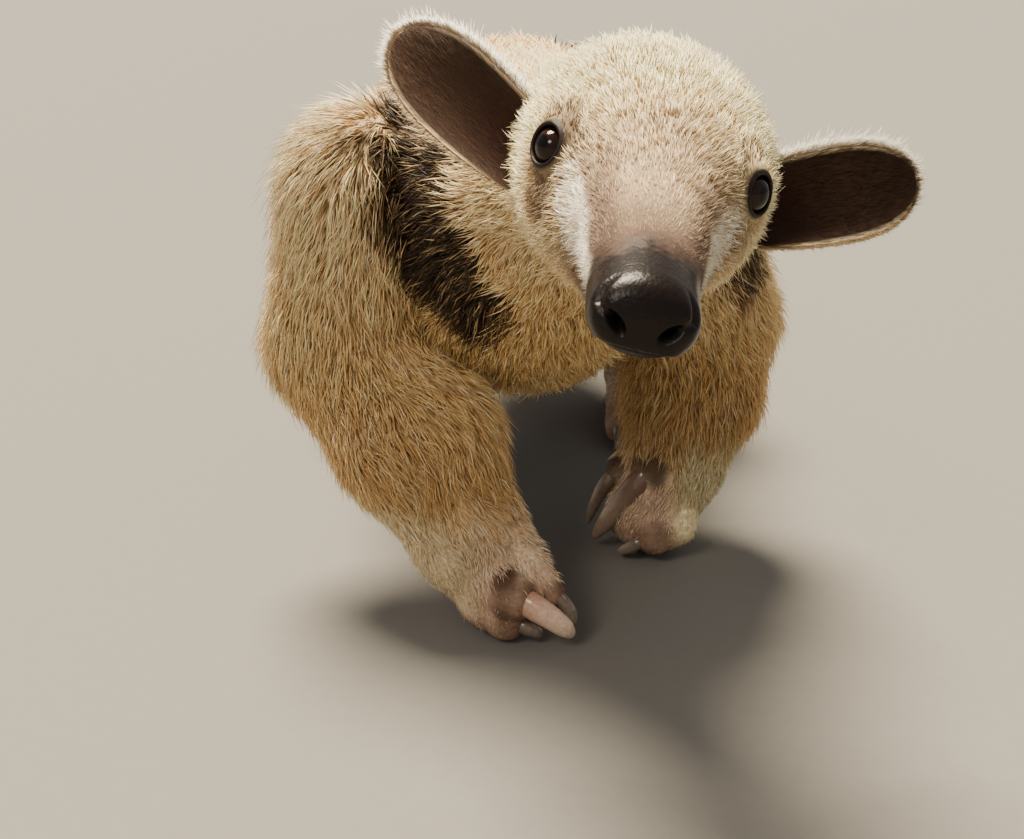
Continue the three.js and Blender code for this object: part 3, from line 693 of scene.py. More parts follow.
def give(piece, name, values):
    """A number or a colour at each corner point of a piece."""
    kind = "FLOAT" if values.ndim == 1 else "FLOAT_COLOR"
    attribute = piece.data.attributes.new(name, kind, "POINT")
    if values.ndim == 1:
        attribute.data.foreach_set("value", values.astype(np.float32))
    else:
        full = np.column_stack([values, np.ones(len(values))])
        attribute.data.foreach_set("color", full.astype(np.float32).ravel())


def settle_piece(piece, slot, *nodes):
    """A finished piece attached to the animal's body at its root, in place of the named solids. The slot it
    is given is not used.
    """
    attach(piece, "root")
    if nodes:
        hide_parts(*nodes)


def add_node(tree, kind, inputs=(), **settings):
    """One node with its settings. An input is given a value, or the output that feeds it."""
    made = tree.nodes.new(kind)
    for name, value in settings.items():
        setattr(made, name, value)
    for socket, value in dict(inputs).items():
        if isinstance(value, bpy.types.NodeSocket):
            tree.links.new(value, made.inputs[socket])
        else:
            made.inputs[socket].default_value = value
    return made


def new_material(name):
    """A material with its node tree and its shader."""
    material = bpy.data.materials.new(name)
    material.use_nodes = True
    tree = material.node_tree
    return material, tree, tree.nodes["Principled BSDF"]


def join(tree, output, shader, socket):
    tree.links.new(output, shader.inputs[socket])


def bumped(tree, shader, height, strength, distance):
    """Relief from a height, with its depth in metres."""
    bump = add_node(tree, "ShaderNodeBump", {"Height": height, "Strength": strength, "Distance": distance})
    join(tree, bump.outputs["Normal"], shader, "Normal")


def mixed(tree, factor, a, b, blend="MIX"):
    """Two colours in one."""
    made = add_node(tree, "ShaderNodeMix", {0: factor, 6: a, 7: b}, data_type="RGBA", blend_type=blend)
    return made.outputs[2]


def reading(tree, name, output="Fac"):
    """What a piece was given under a name."""
    return add_node(tree, "ShaderNodeAttribute", attribute_name=name).outputs[output]


def grain(tree, size, detail=2.0):
    """Noise whose grains are about one size across, in millimetres."""
    place = add_node(tree, "ShaderNodeTexCoord").outputs["Object"]
    noise = add_node(tree, "ShaderNodeTexNoise", {"Vector": place, "Scale": 1000 / size, "Detail": detail})
    return noise.outputs["Fac"]


def ranged(tree, value, low, high, to_low, to_high):
    """A value moved from one range into another and held within it."""
    ends = {"From Min": low, "From Max": high, "To Min": to_low, "To Max": to_high}
    return add_node(tree, "ShaderNodeMapRange", {"Value": value, **ends}).outputs["Result"]


def guard_hair():
    """Keratin hairs in tufts, a little glossy all over: darker at the root, partly their own colour and
    partly painted shade deep in the coat, and paler towards the tip.
    """
    material, tree, shader = new_material("guard_hair")
    shade = reading(tree, "shade", "Color")
    # The root darker than the tip: partly the hairs' own colour, partly painted shade deep in the coat.
    rooted = mixed(tree, 1.0, shade, hex_colour("#b8966c"), "MULTIPLY")
    tipped = mixed(tree, ranged(tree, reading(tree, "along"), 0.0, 0.8, 0.0, 1.0), rooted, shade)
    join(tree, tipped, shader, "Base Color")
    shader.inputs["Roughness"].default_value = 0.55
    shader.inputs["Specular IOR Level"].default_value = 0.3
    return material


def living_skin():
    """Skin: matt and hairy under the coat, leathery and pebbled where it is bare, moist on the nose."""
    material, tree, shader = new_material("living_skin")
    shade = reading(tree, "shade", "Color")
    bare = reading(tree, "bare")
    moist = reading(tree, "moist")
    fine = grain(tree, 1.1, 3.0)
    mottle = ranged(tree, fine, 0.3, 0.7, 0.72, 1.12)
    join(tree, mixed(tree, 1.0, shade, mottle, "MULTIPLY"), shader, "Base Color")
    dry = ranged(tree, bare, 0.0, 1.0, 0.9, 0.55)
    damp = ranged(tree, moist, 0, 1, 1.0, 0.6)
    wet = add_node(tree, "ShaderNodeMath", {0: dry, 1: damp}, operation="MULTIPLY")
    join(tree, wet.outputs[0], shader, "Roughness")
    shader.inputs["Specular IOR Level"].default_value = 0.18
    place = add_node(tree, "ShaderNodeTexCoord").outputs["Object"]
    spacing = {"Vector": place, "Scale": 1500.0, "Smoothness": 1.0}  # pebbles about 0.7 mm apart
    pebbles = add_node(tree, "ShaderNodeTexVoronoi", spacing, feature="SMOOTH_F1").outputs["Distance"]
    height = add_node(tree, "ShaderNodeMath", {0: fine, 1: pebbles}, operation="SUBTRACT")
    bumped(tree, shader, height.outputs[0], 0.35, 0.00018)
    return material


def scaly_tail_skin():
    """Bare tail skin: small scales in rings, matt, with dark blotches."""
    material, tree, shader = new_material("scaly_tail_skin")
    shade = reading(tree, "shade", "Color")
    ring = reading(tree, "ring")
    scales = add_node(tree, "ShaderNodeMath", {0: ring, 1: 1.0}, operation="SINE").outputs[0]
    fine = grain(tree, 1.4, 3.0)
    mottle = ranged(tree, fine, 0.3, 0.7, 0.75, 1.1)
    join(tree, mixed(tree, 1.0, shade, mottle, "MULTIPLY"), shader, "Base Color")
    shader.inputs["Roughness"].default_value = 0.62
    height = add_node(tree, "ShaderNodeMath", {0: scales, 1: fine}, operation="ADD")
    bumped(tree, shader, height.outputs[0], 0.6, 0.0004)
    return material


def ear_skin():
    """Ear leather: nearly black inside with a red depth, fine hair streaks running out to a pale rim."""
    material, tree, shader = new_material("ear_skin")
    shade = reading(tree, "shade", "Color")
    lines = add_node(tree, "ShaderNodeUVMap", uv_map="OFBake").outputs["UV"]
    drawn = add_node(tree, "ShaderNodeMapping", {"Vector": lines, "Scale": (60.0, 5.0, 1.0)})
    drawn_out = {"Vector": drawn.outputs["Vector"], "Scale": 2.2, "Detail": 4.0}
    streaks = add_node(tree, "ShaderNodeTexNoise", drawn_out).outputs["Fac"]
    base = mixed(tree, 1.0, shade, ranged(tree, streaks, 0.3, 0.7, 0.6, 1.35), "MULTIPLY")
    join(tree, base, shader, "Base Color")
    shader.inputs["Roughness"].default_value = 0.8
    shader.inputs["Specular IOR Level"].default_value = 0.25
    bumped(tree, shader, streaks, 0.5, 0.0005)
    return material


def wet_eye():
    """Eyeball: a dark brown iris round a black pupil under a clear wet cornea, so it mirrors the light."""
    material, tree, shader = new_material("wet_eye")
    ring = reading(tree, "iris")
    brown = mixed(tree, grain(tree, 0.5, 2.0), hex_colour("#140a06"), hex_colour("#241209"))
    pupil = mixed(tree, ranged(tree, ring, 0.30, 0.36, 0.0, 1.0), hex_colour("#040303"), brown)
    outer = mixed(tree, ranged(tree, ring, 0.80, 0.9, 0.0, 1.0), pupil, hex_colour("#1b110c"))
    join(tree, outer, shader, "Base Color")
    shader.inputs["Roughness"].default_value = 0.06
    shader.inputs["IOR"].default_value = 1.3
    return material


def horn(name, root, middle, tip):
    """Keratin claw: growth rings across it, polished by use, paler towards the tip."""
    material, tree, shader = new_material(name)
    share = reading(tree, "share")
    first = mixed(tree, ranged(tree, share, 0.15, 0.5, 0.0, 1.0), hex_colour(root), hex_colour(middle))
    last = mixed(tree, ranged(tree, share, 0.45, 1.0, 0.0, 1.0), first, hex_colour(tip))
    rings = add_node(tree, "ShaderNodeMath", {0: share, 1: 70.0}, operation="MULTIPLY").outputs[0]
    rings = add_node(tree, "ShaderNodeMath", {0: rings}, operation="SINE").outputs[0]
    fine = grain(tree, 0.9, 3.0)
    base = mixed(tree, 1.0, last, ranged(tree, fine, 0.3, 0.7, 0.82, 1.1), "MULTIPLY")
    join(tree, base, shader, "Base Color")
    shader.inputs["Roughness"].default_value = 0.3
    shader.inputs["Coat Weight"].default_value = 0.25
    height = add_node(tree, "ShaderNodeMath", {0: rings, 1: fine}, operation="ADD")
    bumped(tree, shader, height.outputs[0], 0.12, 0.0003)
    return material


def studio_floor():
    """Matt grey paper, almost even, so that shadows lie softly and no colour comes from below."""
    material, tree, shader = new_material("studio_paper")
    fine = grain(tree, 6.0, 2.0)
    join(tree, mixed(tree, fine, hex_colour("#6a6762"), hex_colour("#6f6c67")), shader, "Base Color")
    shader.inputs["Roughness"].default_value = 0.9
    return material


# Markings: skin and coat take their colour from the same places
CREAM = linear("#ffeebe")
PALE = linear("#f9ddaf")
GOLD = linear("#efcd92")
TAN = linear("#d3ab72")
WHITE = linear("#fdf6e4")
GREY_BROWN = linear("#a38a73")
MUZZLE = linear("#5b463a")
NOSE = linear("#120a07")
# Painted shade for the hollow of the nostrils
NOSTRIL_SHADE = linear("#070403")
VEST = linear("#2a1c11")
VEST_EDGE = linear("#5f4122")
EYE_RIM = linear("#170e0a")
EYE_PATCH = linear("#654d3f")
HAND_SKIN = linear("#a1806a")
KNUCKLE = linear("#3a2318")
WRIST = linear("#f2d8bc")
# Grizzled pale tips in the vest, also standing in as painted glints
VEST_FLECK_AND_GLINT = linear("#c9ad7d")
TAIL_SKIN = linear("#b49a86")
TAIL_BLOTCH = linear("#5a463b")
EAR_INSIDE = linear("#2f1c0e")
EAR_DEPTH = linear("#2a0804")
EAR_EDGE = linear("#e6d3b0")
EAR_OUTSIDE = linear("#e2c891")
EAR_STREAK = linear("#3f2917")
EAR_BACK_HAIR = linear("#e6cd98")
EAR_FRINGE = linear("#e3cfa8")


def lay(colour, over, mask):
    """One colour laid over another, as far as the mask says at each place."""
    return colour + (over - colour) * mask[:, None]


def outside_line(p, line):
    """Distance to a line of balls joined by cones, each given with its radius."""
    return np.min([cone_parts(p, a, b)[0] for a, b in zip(line, line[1:])], axis=0)


# Each point of a strap's middle line with the half width of the strap there
STRAPS = {
    "right": [[-40, 300, 178, 14], [-34, 262, 178, 12], [-31, 232, 176, 10], [-33, 205, 170, 9],
              [-34.5, 190, 162, 9.5], [-33, 182, 153, 13], [-28, 174, 145, 18], [-24, 172, 133, 20.5],
              [-21, 174, 122, 20], [-16, 177, 106, 14]],
    "left": [[44, 300, 174, 14], [44, 262, 174, 12], [50, 228, 172, 12], [64, 204, 158, 13],
             [76, 202, 136, 13], [83, 216, 114, 13], [80, 221, 98, 11], [72, 222, 88, 6]],
}  # fmt: skip


# The white streak beside the muzzle, in the head frame, with its half width
WHITE_STREAK = [
    [17.8, -17, -6, 4.8], [17, -24, -9.5, 6.3], [15.2, -32, -12.5, 5.3], [13, -43, -15, 3.5],
    [10.8, -57, -15.5, 1.2],
]  # fmt: skip


def from_knuckles(p):
    """Distance from the nearest ball at a finger's end."""
    tips = [np.array(finger[-1], float) for way in FINGERS for finger in FINGERS[way]]
    return np.min([np.linalg.norm(p - tip[:3], axis=1) - tip[3] for tip in tips], axis=0)


def vest_mask(p, stray):
    """The dark vest: belly, flanks and rump, with a strap over each shoulder and a pale wedge between."""
    x, y, z = p.T
    fuzz = unevenness(p, 26, 1) * 5 + unevenness(p, 9, 2) * 3 + stray
    start = 262 + 0.14 * (z - 60)
    flank = fade(y + fuzz, start, start + 26) * (1 - fade(y + fuzz, 452, 486))
    half = np.interp(y, [200, 330, 380, 450], [38, 34, 26, 0])
    wedge = fade(z, 158, 170) * (1 - fade(np.abs(x) + fuzz - half, -4, 6))
    straps = np.minimum(outside_line(p, STRAPS["right"]), outside_line(p, STRAPS["left"]))
    strap = 1 - fade(straps + fuzz * 0.7, -4, 4)
    return np.maximum(flank * (1 - wedge), strap)


def markings(p, weights, hair=False):
    """Colour of skin or hair at each place, with how bare and how moist the skin is there."""
    x, y, z = p.T
    stray = chance.normal(0, 3.2, len(p)) if hair else 0
    h = into_head(p)
    side, back, up = h.T
    fuzz = unevenness(p, 14, 0)

    head = np.tile(CREAM, (len(p), 1))
    head = lay(head, PALE, fade(-up, 2, 24) * fade(back, -30, 10))
    head = lay(head, GOLD, fade(back + fuzz * 5, 42, 62) * 0.7)
    bridge = 1 - fade(back + fuzz * 4 + stray, -20, 8)
    head = lay(head, GREY_BROWN, bridge * (0.75 if hair else 0.95))
    # Painted shade on the sides of the muzzle: there the dark muzzle colour reaches up to 24 mm further back,
    # where the sides turn away from the light.
    flank = 24 * fade(np.abs(side), 5, 13)
    muzzle = 1 - fade(back + fuzz * 2 + stray * 0.5 - flank, -58, -30)
    head = lay(head, MUZZLE, muzzle * (0.75 if hair else 1))
    mirrored = np.column_stack([np.abs(side), back, up])
    streak = outside_line(mirrored, WHITE_STREAK) + 0.8 * fuzz + stray * 0.2
    head = lay(head, WHITE, 1 - fade(streak, -1.5, 2))
    head = lay(head, GOLD, fade(-up, 20, 30) * fade(back, -40, 0) * 0.8)
    away = np.min([np.linalg.norm(p - eye_middle(way), axis=1) for way in (1, -1)], axis=0)
    under = np.linalg.norm(mirrored - UNDER_EYE, axis=1)
    around = np.minimum(away, under + 2.5) + fuzz + stray * 0.2
    head = lay(head, EYE_PATCH, np.where(side < 0, 0.8, 0.45) * (1 - fade(around, 8, 12)))
    lids = from_lids(p) + 0.3 * fuzz
    head = lay(head, EYE_RIM, 1 - fade(lids, 5.3, 6.4))
    # The dark of the bare nose also reaches a little further back on the sides of the muzzle, with the same
    # painted shade.
    nose = 1 - fade(back + fuzz * 2 + unevenness(p, 3, 1) * 1.5 - 0.2 * flank, -62, -50)
    head = lay(head, NOSE, nose)
    # Painted shade in each nostril: its hollow is laid near black, darker than the nose pad.
    nostril = (1 - fade(nostril_oval(mirrored), 0.7, 1.05)) * (1 - fade(back, -67, -65))
    head = lay(head, NOSTRIL_SHADE, nostril)

    neck = fade(y, 200, 260)[:, None]
    trunk = PALE * (1 - neck) + GOLD * neck
    trunk = lay(trunk, GOLD, fade(150 - z + fuzz * 6, 0, 30))
    # Fore limbs pale at the shoulder, gold lower down and tan towards the wrist: partly the coat's own
    # colour, partly painted light on the lit top of the limb and painted shade lower on it.
    fore = lay(np.tile(PALE, (len(p), 1)), GOLD, fade(138 - z + fuzz * 8, 0, 55))
    fore = lay(fore, TAN, fade(100 - z + fuzz * 8, 0, 45) * 0.6)
    fore = lay(fore, WRIST, 0.85 * (1 - fade(z + fuzz * 3, 30, 54)))
    hind = lay(np.tile(GOLD, (len(p), 1)), PALE, 0.6 * fade(fuzz, -0.4, 0.6))
    tail = np.tile(GOLD, (len(p), 1))
    end = fade(y + fuzz * 14, TAIL_BARE_FROM, TAIL_BARE_FROM + 60)
    tail = lay(tail, TAIL_SKIN, end)
    blotch = fade(unevenness(p, 24, 2) + 0.35 * unevenness(p, 9, 3), 0.1, 0.5)
    tail = lay(tail, TAIL_BLOTCH, end * blotch * 0.85)

    grounds = [head, trunk, fore, fore, hind, hind, tail]
    colour = sum(weights[i][:, None] * ground for i, ground in enumerate(grounds))
    dark = vest_mask(p, stray) * (1 - weights[0]) * (1 - weights[4] - weights[5]) * (1 - weights[6])
    low = fade(z, 96, 124)
    dark = dark * np.where(weights[2] + weights[3] > 0.5, low, 1)
    colour = lay(colour, VEST_EDGE, fade(dark, 0.1, 0.5))
    colour = lay(colour, VEST, fade(dark, 0.4, 0.9))
    if hair:
        # Pale flecks among the dark vest hairs: grizzled tips, with painted glints where light catches the
        # dark hairs.
        flecks_and_glints = (chance.random(len(p)) < 0.28) * chance.uniform(0.1, 0.8, len(p))
        colour = lay(colour, VEST_FLECK_AND_GLINT, flecks_and_glints * fade(dark, 0.4, 0.9))

    limbs = weights[2] + weights[3] + weights[4] + weights[5]
    hands = limbs * (1 - fade(z + fuzz * 2, 22, 32))
    colour = lay(colour, WRIST if hair else HAND_SKIN, hands * 0.9)
    # Cream on the outer side of each fore foot, in full on the left and at half on the right: pale fur,
    # brightened on the left as painted light where light falls on that side.
    outer = weights[3] * fade(x, 56, 64) + weights[2] * (1 - fade(x, -20, -8)) * 0.5
    colour = lay(colour, CREAM, outer * (1 - fade(z + fuzz * 4, 40, 56)) * (1 - fade(12 - z, 0, 8)) * 0.9)
    colour = lay(colour, KNUCKLE, (1 - fade(from_knuckles(p) + fuzz, -2, 2)) * (0.35 if hair else 0.9))
    bare = np.clip(weights[0] * np.maximum(nose, 1 - fade(lids, 5.4, 6.2)) + hands + weights[6] * end, 0, 1)
    return colour, bare, weights[0] * nose * (1 - nostril)


# The coat
def lie_of_coat(p, weights, normals):
    """The way the hairs point, along the skin."""
    h = into_head(p)
    count = len(p)
    low = fade(-h[:, 2], 0, 18)
    parting = 0.3 * np.sign(h[:, 0]) * fade(np.abs(h[:, 0]), 2, 20)
    head = np.column_stack([parting, np.ones(count), -0.5 * low])
    head = head @ HEAD.T
    trunk = np.tile([0, 1, -0.25], (count, 1))
    ways = [head, trunk]
    for limb in LIMBS:
        total = np.zeros((count, 3))
        for start, end in zip(limb, limb[1:]):
            closeness = np.exp(-np.clip(cone_parts(p, start, end)[0], -20, 60) / 6)
            total += closeness[:, None] * unit(np.subtract(end[:3], start[:3]))
        ways.append(unit(total))
    nearest = np.argmin(np.linalg.norm(p[:, None] - TAIL_PATH[None, 1:-1, :3], axis=2), axis=1) + 1
    ways.append(unit(TAIL_PATH[nearest + 1, :3] - TAIL_PATH[nearest - 1, :3]))
    way = sum(weights[i][:, None] * value for i, value in enumerate(ways))
    for side in (1, -1):
        from_eye = p - eye_middle(side)
        away = np.linalg.norm(from_eye, axis=1)
        way = way + from_eye / away[:, None] * (2.2 * (1 - fade(away, 8, 14)))[:, None]
    way = unit(way - normals * (way * normals).sum(1, keepdims=True))
    across = np.cross(normals, way)
    swing = 0.30 * unevenness(p, 16, 1) + 0.28 * unevenness(p, 5, 2) + 0.16 * chance.normal(size=count)
    return unit(way * np.cos(swing)[:, None] + across * np.sin(swing)[:, None])


def coat_plan(p, weights):
    """Tufts to a square millimetre, and length, width and lift of each, at each place."""
    h = into_head(p)
    back, y, z = h[:, 1], p[:, 1], p[:, 2]
    clear = fade(from_lids(p), 5.3, 6.2)
    slim = np.min([cone_parts(p, *FINGERS[way][1][-2:])[0] for way in FINGERS], axis=0)
    furred = fade(from_knuckles(p), -1.0, 2.0) * (0.3 + 0.7 * fade(slim, 0, 2.5))
    shorter = 0.6 + 0.4 * fade(from_lids(p), 6, 9)
    head = np.stack([
        np.interp(back, [-58, -54, -44, -30, 0, 60], [0, 1.5, 3.0, 3.0, 2.6, 1.9]) * clear,
        np.interp(back, [-58, -36, -14, 15, 50], [0.9, 2.2, 3.6, 4.8, 6.4]) * shorter,
        np.interp(back, [-58, -10, 50], [0.2, 0.27, 0.34]),
        np.interp(back, [-58, -20, 10, 60], [0.25, 0.42, 0.6, 0.5]),
    ])  # fmt: skip
    trunk = np.stack([
        np.interp(y, [100, 200, 235, 280, 330, 530], [1.25, 1.05, 0.6, 0.32, 0.21, 0.19]),
        np.interp(y, [100, 160, 230, 300], [6.5, 9, 12, 15]),
        np.interp(y, [100, 200, 240, 320], [0.36, 0.45, 0.55, 0.92]),
        np.interp(y, [100, 200, 300], [0.45, 0.35, 0.3]),
    ])  # fmt: skip
    fore = np.stack([
        np.interp(z, [3, 9, 26, 50, 150], [0, 1.2, 2.0, 1.15, 0.9]) * furred,
        np.interp(z, [8, 30, 60, 150], [2.2, 4.6, 10, 13]),
        np.interp(z, [8, 40, 150], [0.24, 0.36, 0.48]),
        np.interp(z, [8, 60, 150], [0.3, 0.35, 0.35]),
    ])  # fmt: skip
    hind = np.stack([
        np.interp(z, [3, 14, 30, 60, 150], [0, 0.3, 0.4, 0.22, 0.15]),
        np.interp(z, [10, 30, 60, 150], [2.0, 5, 9, 14]),
        np.interp(z, [10, 40, 150], [0.35, 0.6, 1.1]),
        np.interp(z, [10, 60, 150], [0.25, 0.3, 0.3]),
    ])  # fmt: skip
    tail = np.stack([
        np.interp(y, [540, 620, 660, 740, 780], [0.2, 0.24, 0.2, 0.05, 0]),
        np.interp(y, [540, 620, 740], [13, 8, 3]),
        np.interp(y, [540, 620, 740], [1.0, 0.7, 0.4]),
        np.full(len(p), 0.25),
    ])  # fmt: skip
    return sum(weights[i] * plan for i, plan in enumerate([head, trunk, fore, fore, hind, hind, tail]))


def unwrapped(p, part):
    """A place on an unwrap of one part: round it and along it, each from 0 to 1."""
    if part == 0:
        side, back, up = into_head(p).T
        turn, along = np.arctan2(side, up + 8), (back + 80) / 170
    elif part == 1:
        middle, _, _, level, _ = table_at(TRUNK_TABLE, p[:, 1])
        turn, along = np.arctan2(p[:, 0] - middle, p[:, 2] - level), (p[:, 1] - 80) / 470
    elif part == 6:
        nearest = np.argmin(np.linalg.norm(p[:, None] - TAIL_PATH[None, :, :3], axis=2), axis=1)
        reach = p - TAIL_PATH[nearest, :3]
        turn, along = np.arctan2(reach[:, 0], reach[:, 2] + 0.5), (nearest + 0.5) / len(TAIL_PATH)
        along = along + 0.01 * (chance.random(len(p)) - 0.5)
    else:
        limb = np.array(LIMBS[part - 2], float)
        order = np.argsort(limb[:, 2])
        middle = [np.interp(p[:, 2], limb[order, 2], limb[order, k]) for k in (0, 1)]
        turn, along = np.arctan2(p[:, 0] - middle[0], middle[1] - p[:, 1]), (p[:, 2] + 2) / 190
    return np.clip(np.column_stack([turn / (2 * np.pi) + 0.5, along]), 0.004, 0.996)


# The faces of a tuft with a knee and of a straight one, and the patch that each has in OFBake
BENT = np.array([
    [0, 1, 4], [0, 4, 3], [1, 2, 5], [1, 5, 4], [2, 0, 3], [2, 3, 5], [3, 4, 6], [4, 5, 6],
    [5, 3, 6], [0, 2, 1],
])  # fmt: skip
PLAIN = np.array([[0, 1, 3], [1, 2, 3], [2, 0, 3], [0, 2, 1]])
BENT_PATCH = np.array([[-1, -1], [1, -1], [0, -0.6], [-0.7, 0.1], [0.7, 0.1], [0, 0.3], [0, 1]]) * 0.0015
PLAIN_PATCH = np.array([[-1, -1], [1, -1], [0, -0.4], [0, 1]]) * 0.0015


def tuft_piece(name, material, roots, normals, lie, plan, shade, place, bent):
    """Closed thin tufts, each rooted under the skin and bent along its lie."""
    length, width, lift = (v[:, None] for v in plan)
    across = np.cross(lie, normals)
    rise = lie * np.cos(lift) + normals * np.sin(lift)
    fall = lie * np.cos(lift / 2) + normals * np.sin(lift / 2)
    foot = roots - normals * ROOTED
    crown = np.cross(across, rise)
    crown *= np.sign((crown * normals).sum(1, keepdims=True))
    ring = [foot - across * width / 2, foot + across * width / 2, foot + crown * width * 0.55]
    if bent:
        knee = roots + rise * length * 0.5
        upper = [knee + (corner - foot) * 0.8 for corner in ring]
        corners = [*ring, *upper, knee + fall * length * 0.5]
        faces, patch, along = BENT, BENT_PATCH, [0, 0, 0, 0.55, 0.55, 0.55, 1]
    else:
        corners = [*ring, roots + rise * length]
        faces, patch, along = PLAIN, PLAIN_PATCH, [0, 0, 0, 1]
    corners = np.stack(corners, 1)
    count, each = len(roots), corners.shape[1]
    a, b, c = corners[0][faces].transpose(1, 0, 2)
    centre = corners[0].mean(0)
    if (np.cross(a - centre, b - centre) * (c - centre)).sum() < 0:
        faces = faces[:, ::-1]
    corners[:, :, 2] = np.maximum(corners[:, :, 2], LOWEST_HAIR)
    triangles = (faces[None] + each * np.arange(count)[:, None, None]).reshape(-1, 3)
    piece = new_piece(name, corners.reshape(-1, 3), triangles, [material])
    give(piece, "shade", np.repeat(shade, each, axis=0))
    give(piece, "along", np.tile(np.array(along, float), count))
    spots = (place[:, None] + patch[None]).reshape(-1, 2)
    layer = piece.data.uv_layers.new(name="OFBake")
    layer.data.foreach_set("uv", spots[triangles.ravel()].astype(np.float32).ravel())
    return piece


def tuft_shades(colour, bright=0.16):
    """Each tuft a little lighter or darker, and a few much paler, than its place."""
    count = len(colour)
    value = np.exp(chance.normal(0, bright, count))
    pale = np.where(chance.random(count) < 0.16, chance.uniform(0.1, 0.6, count), 0)
    mean = colour.mean(1)
    colour = lay(colour, WHITE, pale * fade(mean, 0.1, 0.4))
    return np.clip(colour * value[:, None], 0.002, 0.92)


def grow_coat(points, faces, material):
    """The coat on the whole skin, as one or more pieces for each part of the body."""
    corners = points[faces]
    sides = np.cross(corners[:, 1] - corners[:, 0], corners[:, 2] - corners[:, 0])
    area = np.linalg.norm(sides, axis=1) / 2
    middle = corners.mean(1)
    plan = coat_plan(middle, part_weights(part_fields(middle)))
    wanted = area * plan[0]
    total = int(wanted.sum() * COAT_SHARE)
    chosen = np.searchsorted(np.cumsum(wanted) / wanted.sum(), np.sort(chance.random(total)))
    chosen = np.clip(chosen, 0, len(faces) - 1)
    r, s = np.sqrt(chance.random(total))[:, None], chance.random(total)[:, None]
    a, b, c = corners[chosen].transpose(1, 0, 2)
    roots = a * (1 - r) + b * r * (1 - s) + c * r * s
    normals = corner_normals(points, faces)
    na, nb, nc = normals[faces[chosen]].transpose(1, 0, 2)
    normals = unit(na * (1 - r) + nb * r * (1 - s) + nc * r * s)
    keep = roots[:, 2] > LOWEST_ROOT
    roots, normals = roots[keep], normals[keep]
    fields = part_fields(roots)
    weights = part_weights(fields)
    lie = lie_of_coat(roots, weights, normals)
    plan = coat_plan(roots, weights)
    length = plan[1] * np.exp(chance.normal(0, 0.16, len(roots)))
    width = plan[2] * np.exp(chance.normal(0, 0.18, len(roots)))
    lift = np.clip(plan[3] * (1 + 0.5 * chance.normal(size=len(roots))), 0.08, 1.0)
    shade = tuft_shades(markings(roots + normals * 0.5, weights, hair=True)[0])
    owner = np.argmin(fields, axis=0)
    for part, title in enumerate(PARTS):
        for short, word in ((True, "short"), (False, "long")):
            ours = np.flatnonzero((owner == part) & ((length < SHORT_HAIR) == short))
            if not len(ours):
                continue
            order = ours[np.argsort(roots[ours] @ np.array([0.05, 1.0, 0.3]))]
            most = MOST_SHORT if short else MOST_LONG
            for n, some in enumerate(np.array_split(order, int(np.ceil(len(order) / most)))):
                name = f"coat_{title}_{word}_{n + 1}"
                grown = (roots[some], normals[some], lie[some])
                sizes = (length[some], width[some], lift[some])
                spots = unwrapped(roots[some], part)
                piece = tuft_piece(name, material, *grown, sizes, shade[some], spots, not short)
                settle_piece(piece, {1: "vest", 6: "tail"}.get(part, "coat"))


# Pieces
def make_skin(materials):
    """One skin in place of all the solids of flesh. The coat needs its points and triangles."""
    points, faces = skin_surface()
    fields = part_fields(points)
    weights = part_weights(fields)
    colour, bare, moist = markings(points, weights)
    skin = new_piece("skin", points, faces, materials)
    give(skin, "shade", colour * np.where(bare > 0.5, 1.0, 0.72)[:, None])
    give(skin, "bare", bare)
    give(skin, "moist", moist)
    give(skin, "ring", along_tail(points) * TAIL_RINGS * 2 * np.pi)
    on_tail = (np.argmin(fields, axis=0) == 6)[faces].all(1)
    scaly = on_tail & (points[faces][:, :, 1].mean(1) > TAIL_BARE_FROM)
    skin.data.polygons.foreach_set("material_index", scaly.astype(np.int32))
    flesh = [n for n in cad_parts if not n.startswith(("eye_", "ear_", "claw_"))]
    settle_piece(skin, "coat", *flesh)
    return points, faces


def make_eye(name, side, material):
    """An eyeball with a cornea that stands a little proud of it."""
    rows, columns = 48, 64
    faces_way, along, up = eye_axes(side)
    turn = np.linspace(0, np.pi, rows)
    swing = np.linspace(0, 2 * np.pi, columns, endpoint=False)
    cornea = CORNEA_RISE * np.clip(1 - (turn / CORNEA_REACH) ** 2, 0, 1) ** 1.5
    radius = EYE_RADIUS - 0.05 + cornea
    ring = [
        (faces_way * np.cos(t) + (along * np.cos(s) + up * np.sin(s)) * np.sin(t)) * r
        for t, r in zip(turn[1:-1], radius[1:-1])
        for s in swing
    ]
    points = np.array([faces_way * radius[0], *ring, -faces_way * radius[-1]]) + eye_middle(side)
    last = len(points) - 1

    def number(r, c):
        return 1 + r * columns + c % columns

    triangles = [(0, number(0, c), number(0, c + 1)) for c in range(columns)]
    for r in range(rows - 3):
        for c in range(columns):
            a, b = number(r, c), number(r, c + 1)
            d, e = number(r + 1, c), number(r + 1, c + 1)
            triangles += [(a, d, e), (a, e, b)]
    triangles += [(last, number(rows - 3, c + 1), number(rows - 3, c)) for c in range(columns)]
    triangles = np.array(triangles)
    centre = eye_middle(side)
    a, b, c = (points[triangles] - centre).transpose(1, 0, 2)
    if (np.cross(a, b) * c).sum() < 0:
        triangles = triangles[:, ::-1]
    piece = new_piece(name, points, triangles, [material])
    iris = np.concatenate([[0], np.repeat(turn[1:-1], columns), [np.pi]])
    give(piece, "iris", np.sin(np.clip(iris, 0, np.pi / 2)))
    settle_piece(piece, "eye", name)


def ear_width(share):
    """The width of the cup's wall, and how much of it the rounded outline leaves."""
    grown = np.minimum(share / EAR_WIDEST_AT, 1)
    beyond = np.clip((share - EAR_WIDEST_AT) / (1 - EAR_WIDEST_AT), 0, 0.998)
    return EAR_ROOT_WIDTH + (EAR_WIDTH - EAR_ROOT_WIDTH) * grown * (2 - grown), np.sqrt(1 - beyond**2)


